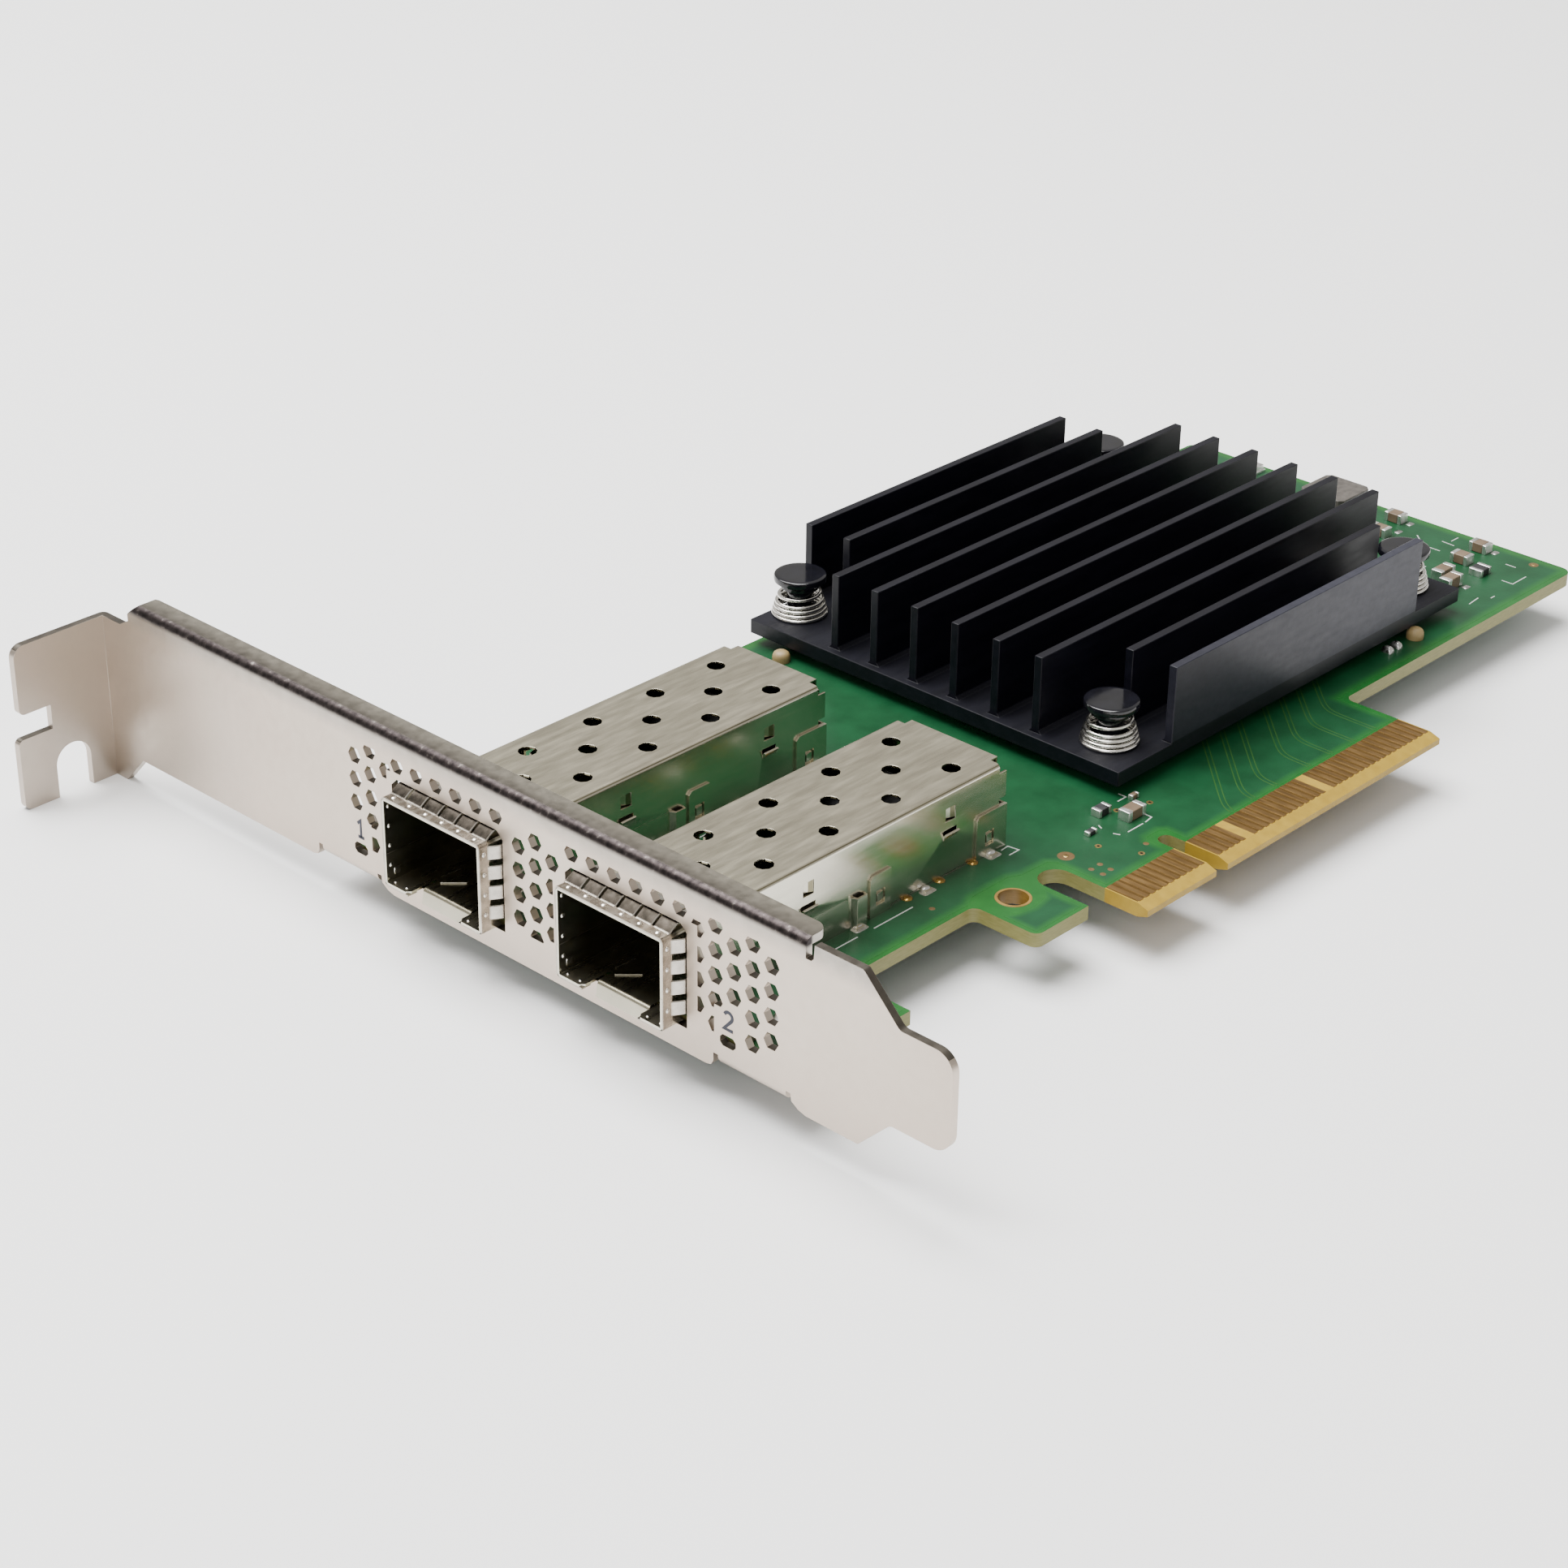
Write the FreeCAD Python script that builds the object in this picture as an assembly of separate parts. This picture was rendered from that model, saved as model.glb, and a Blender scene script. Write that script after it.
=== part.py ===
"""Dual-port network interface card: circuit board with a PCIe x8 edge, a full-height bracket, two
SFP cages and a finned heat sink held by four sprung push pins.

Millimetres. The card lies flat with its component side up (+Z). X runs from the bracket to the rear
edge, Y from the edge contacts to the bracket's screw tab. Pieces are drawn with X = 0 on the
bracket's outer face, Y = 0 on the contacts' edge and Z = 0 on the board's component face, and
export() then moves them by the key distance, so that the origin lies at the key's centre.
"""
import FreeCAD
import Part
import math
import os

from FreeCAD import Vector

# --- driving dimensions -------------------------------------------------------------------------
SEAT_GAP = 0.02             # free room between sheet parts that slip past each other

# circuit board
BOARD_THICK = 1.57
BOARD_FRONT = 1.2           # front edge, behind the bracket's outer face
BOARD_BEHIND_SINK = 19.5    # from the heat sink's rear end to the board's rear edge
BOARD_ABOVE_SINK = 0.05     # from the heat sink's upper side to the board's top edge
BOARD_STEP = 12.4           # lower edge beside the edge connector
HEEL_END = 16.4             # the board's lower corner behind the bracket
HEEL_LOW = 4.2
STUB_START = 35.1
STUB_DEPTH = 8.0            # how far the stub and the slot beside it reach down
RETAINER_WIDTH = 3.85       # round-ended slot between the stub and the first tongue
RETAINER_TOP = 11.9
MOUNT_HOLE_R = 1.6
MOUNT_HOLE_AT = (39.1, 10.7)

# PCIe edge connector, measured from the key's centre
KEY_FROM_BRACKET = 59.05
KEY_WIDTH = 1.9
KEY_DEPTH = 7.95
CONTACT_PITCH = 1.0
CONTACT_WIDTH = 0.7
CONTACT_THICK = 0.05
CONTACT_LOW = 1.35
CONTACT_HIGH = 5.1
FRONT_CONTACTS = 11         # contacts between the bracket and the key
REAR_CONTACTS = 38
FIRST_CONTACT = 1.5         # centre of the contact next to the key
TONGUE_MARGIN = 0.65        # tongue edge beyond the last contact's centre
BEVEL_LENGTH = 1.3
BEVEL_DEPTH = 0.45

# bracket, a folded steel sheet
SHEET = 0.86
BRACKET_WIDTH = 18.42
BRACKET_LOW = -2.9          # lower long edge
BRACKET_LENGTH = 120.02
TAB_FACE = 105.3            # outer face of the screw tab
TAB_DEPTH = 11.43
TAB_WIDTH = 19.05
TAB_LOW = -6.33
SCREW_SLOT_WIDTH = 4.42
SCREW_SLOT_X = -5.3
SCREW_SLOT_TOP = -0.5
TAB_NOTCH = (2.0, 4.8)      # height range of the square notch
TAB_NOTCH_DEPTH = 3.9
TAB_HOOK = 0.45             # how much further the tab reaches below its notch
TAIL_WIDTH = 10.2
TAIL_SHOULDER = -4.1        # where the sides start to taper to the tail
FLANGE_DEPTH = 3.05
FLANGE_ENDS = (2.5, 99.9)
FLANGE_CORNER = 1.3         # round at each end of the flange
FLANGE_RELIEF = 1.95        # depth of the relief slots at the flange's ends
RELIEF_WIDTH = 1.05
BEND_R = 1.0                # outer bend radius
LUG_WIDTH = 8.5
LUG_LENGTH = 10.5
LUG_Y = (8.95, 65.1)
LUG_SCREW_X = 6.2
SCREW_R = 1.5
SCREW_HEAD_R = 2.8
SCREW_HEAD_HEIGHT = 2.0
SCREW_RECESS_DEPTH = 1.0
SCREW_RECESS_WIDTH = 0.6
LUG_GAP = 0.6               # relief notch beside each lug
LUG_RAMP = 1.9              # curved rise of the lower edge to the notch nearer the contacts

# hexagonal vents: columns along Z, shifted by half a pitch from one column to the next
VENT_FLATS = 1.63
VENT_PITCH = 2.64
VENT_COLUMN = 2.33
VENT_TOP = 12.85
VENT_ROW_PITCH = 2.85
VENT_ROW_COUNT = 6
VENT_ROW_Z = 12.28
VENT_MARGIN = 9.35          # plain border beside a port's centre line
VENT_MARGIN_TOP = 9.3       # top of the border on the side between the ports
LIGHT_MARGIN = 1.75         # plain border beside a light hole
LIGHT_Z = 0.6
LIGHT_HOLE = (2.0, 1.2)
LIGHT_OFFSET = 13.25        # light hole's centre from its port's centre line

# SFP cages
PORT_Y = (49.9, 25.2)
CAGE_WIDTH = 14.0
CAGE_HEIGHT = 9.7
CAGE_LENGTH = 48.7
CAGE_FRONT = -2.2           # lip, in front of the bracket
CAGE_SHEET = 0.25
CAGE_BEND = 0.5
CAGE_HOLE_R = 1.0
CAGE_HOLE_PITCH = 9.0
CAGE_HOLE_ROW = 4.0
CAGE_HOLE_LAST = 5.1        # the places down to CAGE_FEET are measured ahead of the rear wall
SEAM_LAST = 22.5            # rear end of the base's front side walls
LATCH_PLATES = ((20.5, 17.5, 4.7), (4.6, 0.0, 5.0))     # from, to, height
LATCH_CATCHES = (19.0, 2.6)
SIDE_FLAPS = (29.1, 8.5)
CAGE_PINS = (14.85, 9.95, 4.9)
CAGE_FEET = (22.4, 12.4, 2.4)
SEAM_HEIGHT = 3.4           # top edge of the base's front side walls
FRONT_PIN = 10.0
CAGE_PIN_HOLE_R = 0.55
FLAP_Z = 7.0                # middle of the inward flap in each side
FLAP_SIZE = 1.5
SCOOP_Z = 4.2               # foot of the outward scoop below each flap
SCOOP_WIDTH = 2.0
SCOOP_HEIGHT = 0.9
POCKET_DEPTH = 0.6          # scoop at the rear end of the seam
PORT_CLEARANCE = 0.12       # bracket opening round the spring fingers

CONNECTOR_LENGTH = 10.0     # module connector inside the cage
CONNECTOR_LAST = 3.7        # its rear face ahead of the cage's rear wall
CONNECTOR_WIDTH = 11.0
CONNECTOR_HEIGHT = 6.1

# spring-finger collar
COLLAR_SHEET = 0.15
COLLAR_BAND = 1.0
FINGER_BOW = 0.75
FINGER_END = 3.4            # free ends, behind the bracket
TOP_FINGERS = 6
SIDE_FINGERS = 4

# heat sink, one extrusion with milled corners
SINK_FRONT = 62.3
SINK_LENGTH = 63.6
SINK_WIDTH = 52.8
SINK_CENTRE_Y = 42.45
SINK_BOTTOM = 1.35
SINK_PLATE = 1.7
FIN_COUNT = 10
FIN_THICK = 1.0
FIN_HEIGHT = 8.95
FIN_INSET = 0.9
FIN_ROOT = 0.4
CORNER_LENGTH = 9.0         # fins milled away round the push pins
CORNER_WIDTH = 7.6

# push pins and their conical springs
PIN_INSET_X = (5.1, 4.3)    # from the sink's front and rear ends
PIN_INSET_Y = (2.85, 5.25)  # from its upper and lower sides
PIN_SHAFT_R = 1.45
PIN_HOLE_R = 1.6
PIN_HEAD_R = 3.0
PIN_HEAD_TOP = 8.0
PIN_HEAD_THICK = 0.9
PIN_COLLAR_R = 2.3          # the spring's upper end bears on this collar
PIN_COLLAR_LOW = 6.35
PIN_BARB_R = 1.85
SPRING_WIRE = 0.5
SPRING_BOTTOM_R = 3.2
SPRING_TOP_R = 2.2
SPRING_CLOSED = 2.5         # close-wound turns at the wide end
SPRING_OPEN = 2.0

CHIP_SIZE = 25.0
PAD_THICK = 0.25
INDUCTOR_SIZE = 6.4
INDUCTOR_HEIGHT = 2.4
UNDER_PITCH = 3.4           # decoupling capacitors on the solder face
UNDER_LENGTH = 1.6
UNDER_HEIGHT = 0.6

BOARD_REAR = SINK_FRONT + SINK_LENGTH + BOARD_BEHIND_SINK
BOARD_TOP = SINK_CENTRE_Y + SINK_WIDTH / 2 + BOARD_ABOVE_SINK

STOP_R = 1.0                # silicone stops under the sink's edges
STOP_INSETS = ((-0.9, 5.65), (54.3, 53.25))     # from the sink's front end and upper side

ROUND_SIDES = 10            # sides of the small turned pieces
HOLE_SIDES = 10             # sides of the small round holes


# --- shape helpers ------------------------------------------------------------------------------
def box(x0, x1, y0, y1, z0, z1):
    """Block between two corners."""
    return Part.makeBox(x1 - x0, y1 - y0, z1 - z0, Vector(x0, y0, z0))


def cylinder(x, y, z0, z1, radius):
    """Upright round bar."""
    return Part.makeCylinder(radius, z1 - z0, Vector(x, y, z0))


def rounded_wire(corners, place):
    """Closed wire through corners (a, b) or (a, b, radius), each round one an arc that is tangent
    to both sides; place turns (a, b) into a point in space."""
    count = len(corners)
    starts, edges = [], []
    for i, corner in enumerate(corners):
        here = Vector(corner[0], corner[1], 0)
        back = Vector(*corners[i - 1][:2], 0) - here
        ahead = Vector(*corners[(i + 1) % count][:2], 0) - here
        radius = corner[2] if len(corner) > 2 else 0.0
        if radius <= 0:
            starts.append((here, None, here))
            continue
        half = back.getAngle(ahead) / 2
        reach = radius / math.tan(half)
        back.normalize()
        ahead.normalize()
        middle = (back + ahead).normalize()
        centre = here + middle * (radius / math.sin(half))
        starts.append((here + back * reach, centre - middle * radius, here + ahead * reach))
    for i, (enter, top, leave) in enumerate(starts):
        if top is not None:
            edges.append(Part.Arc(place(enter), place(top), place(leave)).toShape())
        after = starts[(i + 1) % count][0]
        if (after - leave).Length > 1e-6:
            edges.append(Part.LineSegment(place(leave), place(after)).toShape())
    return Part.Wire(edges)


def plate_xy(corners, z0, z1):
    """Outline in plan, given thickness along Z."""
    face = Part.Face(rounded_wire(corners, lambda p: Vector(p.x, p.y, z0)))
    return face.extrude(Vector(0, 0, z1 - z0))


def plate_yz(corners, x0, x1):
    """Outline seen along X, as points (y, z), extruded along X."""
    face = Part.Face(rounded_wire(corners, lambda p: Vector(x0, p.x, p.y)))
    return face.extrude(Vector(x1 - x0, 0, 0))


def plate_xz(corners, y0, y1):
    """Outline seen along Y, as points (x, z), extruded along Y."""
    face = Part.Face(rounded_wire(corners, lambda p: Vector(p.x, y0, p.y)))
    return face.extrude(Vector(0, y1 - y0, 0))


def ring_points(x, y, z, radius, sides):
    """Corners of a level regular polygon."""
    return [Vector(x + radius * math.cos(2 * math.pi * i / sides),
                   y + radius * math.sin(2 * math.pi * i / sides), z) for i in range(sides)]


def turned(profile, x, y, sides=ROUND_SIDES):
    """Small turned piece through (radius, z) sections from its lower to its upper end, with a
    round drawn as a regular polygon."""
    rings = [ring_points(x, y, z, radius, sides) for radius, z in profile]
    faces = [Part.Face(Part.makePolygon(ring + ring[:1])) for ring in (rings[0], rings[-1])]
    for lower, upper in zip(rings, rings[1:]):
        for i in range(sides):
            j = (i + 1) % sides
            faces.append(Part.Face(Part.makePolygon([lower[i], lower[j], upper[j], upper[i], lower[i]])))
    solid = Part.Solid(Part.Shell(faces))
    if solid.Volume < 0:
        solid.reverse()
    return solid


def small_hole(x, y, z0, z1, radius, sides=HOLE_SIDES):
    """Cutter for a small round hole that nothing has to turn in."""
    return turned([(radius, z0), (radius, z1)], x, y, sides)


def union(pieces):
    """One solid from pieces that touch, with the seams between flush faces removed."""
    whole = pieces[0].fuse(pieces[1:]) if len(pieces) > 1 else pieces[0]
    return whole.removeSplitter()


def both_sides(shape):
    """A shape and its mirror image across the XZ plane."""
    return [shape, shape.mirror(Vector(0, 0, 0), Vector(0, 1, 0))]


# --- circuit board ------------------------------------------------------------------------------
def tongue_ends():
    """X ranges of the two contact tongues."""
    front = FIRST_CONTACT + (FRONT_CONTACTS - 1) * CONTACT_PITCH + TONGUE_MARGIN
    rear = FIRST_CONTACT + (REAR_CONTACTS - 1) * CONTACT_PITCH + TONGUE_MARGIN
    key = KEY_WIDTH / 2
    return ((KEY_FROM_BRACKET - front, KEY_FROM_BRACKET - key),
            (KEY_FROM_BRACKET + key, KEY_FROM_BRACKET + rear))


def sink_pins():
    """Places of the four push pins."""
    upper = SINK_CENTRE_Y + SINK_WIDTH / 2 - PIN_INSET_Y[0]
    lower = SINK_CENTRE_Y - SINK_WIDTH / 2 + PIN_INSET_Y[1]
    return [(x, y) for x in (SINK_FRONT + PIN_INSET_X[0], SINK_FRONT + SINK_LENGTH - PIN_INSET_X[1])
            for y in (upper, lower)]


def lug_screws():
    """Places of the two screws that hold the bracket's lugs."""
    return [(LUG_SCREW_X, y) for y in LUG_Y]


def cage_end():
    """Outer face of the cage's rear wall."""
    return CAGE_FRONT + CAGE_LENGTH


def cage_pin_x():
    """X places of the pins in each cage wall, from front to rear."""
    return [FRONT_PIN] + [cage_end() - x for x in CAGE_PINS]


def cage_pins():
    """Places of the plated holes for the cages' pins."""
    wall = (CAGE_WIDTH - CAGE_SHEET) / 2
    return [(x, y + side * wall) for y in PORT_Y for x in cage_pin_x() for side in (1, -1)]


def circuit_board():
    """Routed laminate with the two tongues, the key, the retainer slot and its drilled holes."""
    (front_start, front_end), (rear_start, rear_end) = tongue_ends()
    slot_start = front_start - RETAINER_WIDTH
    slot_r = RETAINER_WIDTH / 2 - 0.02
    key_r = KEY_WIDTH / 2 - 0.02
    outline = [(BOARD_FRONT, BOARD_TOP), (BOARD_FRONT, HEEL_LOW), (HEEL_END, HEEL_LOW),
               (HEEL_END, BOARD_STEP, 1.0), (STUB_START, BOARD_STEP, 1.0),
               (STUB_START, BOARD_STEP - STUB_DEPTH, 1.0), (slot_start, BOARD_STEP - STUB_DEPTH),
               (slot_start, RETAINER_TOP, slot_r), (front_start, RETAINER_TOP, slot_r),
               (front_start, 0), (front_end, 0), (front_end, KEY_DEPTH, key_r),
               (rear_start, KEY_DEPTH, key_r), (rear_start, 0), (rear_end, 0),
               (rear_end, BOARD_STEP, 1.0), (BOARD_REAR, BOARD_STEP, 1.5), (BOARD_REAR, BOARD_TOP, 1.5)]
    board = plate_xy(outline, -BOARD_THICK, 0)
    low, high = -BOARD_THICK - 1, 1
    holes = [cylinder(*MOUNT_HOLE_AT, low, high, MOUNT_HOLE_R)]
    holes += [small_hole(x, y, low, high, PIN_HOLE_R) for x, y in sink_pins() + lug_screws()]
    holes += [small_hole(x, y, low, high, CAGE_PIN_HOLE_R, 4) for x, y in cage_pins()]
    bevels = []
    for face, inward in ((0, -1), (-BOARD_THICK, 1)):
        wedge = [(-1, face - inward), (BEVEL_LENGTH, face - inward), (BEVEL_LENGTH, face),
                 (0, face + inward * BEVEL_DEPTH), (-1, face + inward * BEVEL_DEPTH)]
        bevels.append(plate_yz(wedge, front_start - 1, rear_end + 1))
    return board.cut(holes + bevels)


def edge_contacts(z):
    """One face's gold contacts, from one end of the connector to the other."""
    forward = [-FIRST_CONTACT - i * CONTACT_PITCH for i in range(FRONT_CONTACTS)]
    rearward = [FIRST_CONTACT + i * CONTACT_PITCH for i in range(REAR_CONTACTS)]
    half = CONTACT_WIDTH / 2
    pads = [box(KEY_FROM_BRACKET + c - half, KEY_FROM_BRACKET + c + half,
                CONTACT_LOW, CONTACT_HIGH, z, z + CONTACT_THICK) for c in forward + rearward]
    return Part.makeCompound(pads)


# --- bracket ------------------------------------------------------------------------------------
def finger_bow_height():
    """How far the bowed spring fingers stand out from the cage."""
    return FINGER_BOW + COLLAR_SHEET


def vent_columns():
    """Vent columns as (y, lowest centre, count), from the tab end to the tail end."""
    port_1, port_2 = PORT_Y
    shift = VENT_PITCH / 2
    left = port_1 + 13.55
    middle = port_1 - 10.23
    right = port_2 - 11.65
    column = VENT_COLUMN
    return [(left, 5.85, 3), (left - column, 5.85 - 3 * shift, 5), (left - 2 * column, 8.45, 2),
            (middle, 2.25, 4), (middle - column, 2.25 - shift, 5), (middle - 2 * column, 2.25, 4),
            (right + column, 3.1, 4), (right, 3.1 - shift, 5), (right - column, 3.1 + VENT_PITCH, 3),
            (right - 2 * column, 3.1 - shift, 5), (right - 3 * column, 3.1, 4)]


def hexagon(y, z):
    """Vent with flats towards +Z and -Z."""
    radius = VENT_FLATS / math.sqrt(3)
    points = [(y + radius * math.cos(math.radians(a)), z + radius * math.sin(math.radians(a)))
              for a in range(0, 360, 60)]
    return plate_yz(points, -1, SHEET + 1)


def vents():
    """All vents, cut off straight at the plain borders of the ports, lights and edges."""
    centres = [(y, low + i * VENT_PITCH) for y, low, count in vent_columns() for i in range(count)]
    borders = [box(-2, 3, 0, TAB_FACE, VENT_TOP, VENT_TOP + 5), box(-2, 3, 0, TAB_FACE, -5, 0.75)]
    for port in PORT_Y:
        first = port - (VENT_ROW_COUNT - 1) / 2 * VENT_ROW_PITCH
        centres += [(first + i * VENT_ROW_PITCH, VENT_ROW_Z) for i in range(VENT_ROW_COUNT)]
        borders.append(box(-2, 3, port - VENT_MARGIN, port + VENT_MARGIN - 0.6, -5, VENT_ROW_Z - 0.95))
        borders.append(box(-2, 3, port, port + VENT_MARGIN + 0.4, -5, VENT_MARGIN_TOP))
    for y in light_holes():
        borders.append(box(-2, 3, y - LIGHT_MARGIN, y + LIGHT_MARGIN, -5, 4.0))
    smallest = 0.2 * hexagon(0, 0).Volume
    cut = [hexagon(y, z).cut(borders) for y, z in centres]
    return [shape for shape in cut if shape.Volume > smallest]


def light_holes():
    """Y places of the two light holes, each outside its port."""
    return [PORT_Y[0] + LIGHT_OFFSET, PORT_Y[1] - LIGHT_OFFSET]


def port_opening(y):
    """Opening round a cage and its bowed fingers."""
    half = CAGE_WIDTH / 2 + finger_bow_height() + PORT_CLEARANCE
    top = CAGE_HEIGHT + finger_bow_height() + PORT_CLEARANCE
    low = -CAGE_SHEET
    corners = [(y - half, low), (y + half, low), (y + half, top - 0.8), (y + half - 0.8, top),
               (y - half + 0.8, top), (y - half, top - 0.8)]
    return plate_yz(corners, -1, SHEET + 1)


def flange():
    """Long flange that stiffens the sheet, its two ends rounded in plan and in front view."""
    top = BRACKET_LOW + BRACKET_WIDTH
    fold_line = top - FLANGE_RELIEF
    start, end = FLANGE_ENDS
    profile = [(0, fold_line - 0.1), (0, top, BEND_R), (FLANGE_DEPTH, top), (FLANGE_DEPTH, top - SHEET),
               (SHEET, top - SHEET), (SHEET, fold_line - 0.1)]
    plan = [(-1, start), (FLANGE_DEPTH, start, FLANGE_CORNER), (FLANGE_DEPTH, end - 1.0, FLANGE_CORNER),
            (0.9, end), (-1, end)]
    front = [(start, fold_line - 1), (start, top + 1), (end - 1.2, top + 1), (end - 1.2, top),
             (end, top - 1.1), (end, fold_line - 1)]
    return plate_xz(profile, start, end).common([plate_xy(plan, fold_line - 1, top + 1)]).common(
        [plate_yz(front, -1, FLANGE_DEPTH + 1)])


def screw_tab():
    """Tab folded forward at the bracket's upper end, with its screw slot and square notch."""
    tab_top = TAB_LOW + TAB_WIDTH
    inner = TAB_FACE - SHEET
    neck = TAB_FACE - BEND_R
    fold = [(SHEET, neck - 0.5), (SHEET, TAB_FACE, BEND_R - 0.3), (-TAB_DEPTH - TAB_HOOK, TAB_FACE),
            (-TAB_DEPTH - TAB_HOOK, inner), (0, inner), (0, neck - 0.5)]
    slot_r = SCREW_SLOT_WIDTH / 2
    notch_end = TAB_NOTCH_DEPTH - TAB_DEPTH
    hook = -TAB_DEPTH - TAB_HOOK
    outline = [(SHEET + 1, TAB_LOW), (SCREW_SLOT_X + slot_r, TAB_LOW),
               (SCREW_SLOT_X + slot_r, SCREW_SLOT_TOP, slot_r - 0.02),
               (SCREW_SLOT_X - slot_r, SCREW_SLOT_TOP, slot_r - 0.02), (SCREW_SLOT_X - slot_r, TAB_LOW),
               (hook, TAB_LOW, 0.9), (hook, TAB_NOTCH[0], 0.7), (notch_end, TAB_NOTCH[0]),
               (notch_end, TAB_NOTCH[1]), (-TAB_DEPTH, TAB_NOTCH[1], 0.7), (-TAB_DEPTH, tab_top, 1.4),
               (SHEET + 1, tab_top)]
    return plate_xy(fold, TAB_LOW, tab_top).common([plate_xz(outline, neck - 1, TAB_FACE + 1)])


def board_lug(y):
    """Lug folded back under the board, with clipped corners."""
    low = -BOARD_THICK - SHEET
    side = LUG_WIDTH / 2
    clip = 1.2
    profile = [(0, low + 1.4), (0, low, BEND_R), (LUG_LENGTH, low), (LUG_LENGTH, -BOARD_THICK),
               (SHEET, -BOARD_THICK), (SHEET, low + 1.4)]
    plan = [(-1, y - side), (LUG_LENGTH - clip, y - side), (LUG_LENGTH, y - side + clip),
            (LUG_LENGTH, y + side - clip), (LUG_LENGTH - clip, y + side), (-1, y + side)]
    return plate_xz(profile, y - side, y + side).common([plate_xy(plan, low - 1, 1)])


def lug_relief(y):
    """Cutter for the sheet's edge at a lug: a notch on each side, a rounded corner beyond the upper
    one and a ramp down from the lower one."""
    low = -BOARD_THICK - SHEET
    notch_low, notch_high = y - LUG_WIDTH / 2 - LUG_GAP, y + LUG_WIDTH / 2 + LUG_GAP
    under = BRACKET_LOW - 1
    corners = [(notch_low - LUG_RAMP, under), (notch_low - LUG_RAMP, BRACKET_LOW),
               (notch_low - 0.5 * LUG_RAMP, BRACKET_LOW + 0.25), (notch_low - 0.1, BRACKET_LOW + 0.8),
               (notch_low, low + 1.1), (notch_high, low + 1.1), (notch_high, BRACKET_LOW + 0.7),
               (notch_high + 0.3, BRACKET_LOW + 0.15), (notch_high + 0.9, BRACKET_LOW),
               (notch_high + 0.9, under)]
    return plate_yz(corners, -1, SHEET + 1)


def bracket():
    """Face plate with its long flange, two board lugs and screw tab, folded from one sheet."""
    top = BRACKET_LOW + BRACKET_WIDTH
    edge = top - 0.2
    tab_top = TAB_LOW + TAB_WIDTH
    tail_end = TAB_FACE - BRACKET_LENGTH
    tail_high = (top + BRACKET_LOW + TAIL_WIDTH) / 2 - 0.4
    tail_low = tail_high - TAIL_WIDTH
    shoulder_high = TAIL_SHOULDER - (top - tail_high)
    shoulder_low = TAIL_SHOULDER - (tail_low - BRACKET_LOW)
    neck = TAB_FACE - BEND_R
    fold_line = top - FLANGE_RELIEF
    flange_start, flange_end = FLANGE_ENDS
    relief_start = flange_start - RELIEF_WIDTH
    outline = [(neck, TAB_LOW), (TAB_FACE - 2.7, TAB_LOW), (TAB_FACE - 5.9, BRACKET_LOW),
               (TAIL_SHOULDER, BRACKET_LOW), (shoulder_low, tail_low, 1.0),
               (tail_end, tail_low, 2.0), (tail_end, tail_high, 2.0), (shoulder_high, tail_high, 1.0),
               (TAIL_SHOULDER - 0.2, edge, 0.6), (relief_start, edge), (relief_start + 0.1, fold_line + 0.3),
               (relief_start + 0.4, fold_line), (flange_end, fold_line), (flange_end + 1.5, tab_top),
               (neck, tab_top)]
    plate = plate_yz(outline, 0, SHEET)
    sheet = union([plate.cut([lug_relief(y) for y in LUG_Y]), flange(), screw_tab()]
                  + [board_lug(y) for y in LUG_Y])
    cuts = [port_opening(y) for y in PORT_Y] + vents()
    wide, high = LIGHT_HOLE[0] / 2, LIGHT_HOLE[1] / 2
    for y in light_holes():
        oval = [(y + side * across, LIGHT_Z + rise) for side, across, rise in
                ((1, wide - 0.35, -high), (1, wide, -0.25), (1, wide, 0.25), (1, wide - 0.35, high),
                 (-1, wide - 0.35, high), (-1, wide, 0.25), (-1, wide, -0.25), (-1, wide - 0.35, -high))]
        cuts.append(plate_yz(oval, -1, SHEET + 1))
    lug_low = -BOARD_THICK - SHEET
    cuts += [small_hole(x, y, lug_low - 1, 0, SCREW_R + SEAT_GAP) for x, y in lug_screws()]
    return sheet.cut(cuts)


def bracket_screws():
    """Pan-head screws with a cross recess, through the board into the lugs."""
    top, r = SCREW_HEAD_HEIGHT, SCREW_HEAD_R
    profile = [(SCREW_R, -BOARD_THICK - SHEET), (SCREW_R, 0), (r, 0), (r, 0.5 * top), (0.8 * r, 0.9 * top),
               (0.43 * r, top)]
    reach, half, floor = 0.46 * r, SCREW_RECESS_WIDTH / 2, top - SCREW_RECESS_DEPTH
    screws = []
    for x, y in lug_screws():
        cross = [box(x - reach, x + reach, y - half, y + half, floor, top + 1),
                 box(x - half, x + half, y - reach, y + reach, floor, top + 1)]
        screws.append(turned(profile, x, y).cut(cross))
    return Part.makeCompound(screws)


# --- SFP cages, drawn round Y = 0 and then moved to each port ------------------------------------
def side_flap(x):
    """Flap bent inwards from the rear edge of its window."""
    inner = CAGE_WIDTH / 2 - CAGE_SHEET
    reach = FLAP_SIZE / 2
    plan = [(x - reach + 0.1, inner - 0.4), (x - reach + 0.2, inner - 0.6), (x + reach + 0.1, inner),
            (x + reach + 0.1, inner + 0.2)]
    return plate_xy(plan, FLAP_Z - reach + 0.1, FLAP_Z + reach - 0.1)


def side_scoop(x):
    """Lanced strip below a flap, pushed outwards at its upper edge."""
    half = CAGE_WIDTH / 2
    inner = half - CAGE_SHEET
    tip = SCOOP_Z + SCOOP_HEIGHT
    section = [(inner, SCOOP_Z), (half, SCOOP_Z), (half + 0.45, tip - 0.1), (half + 0.25, tip),
               (inner, SCOOP_Z + 0.25)]
    return plate_yz(section, x - SCOOP_WIDTH / 2, x + SCOOP_WIDTH / 2)


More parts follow.
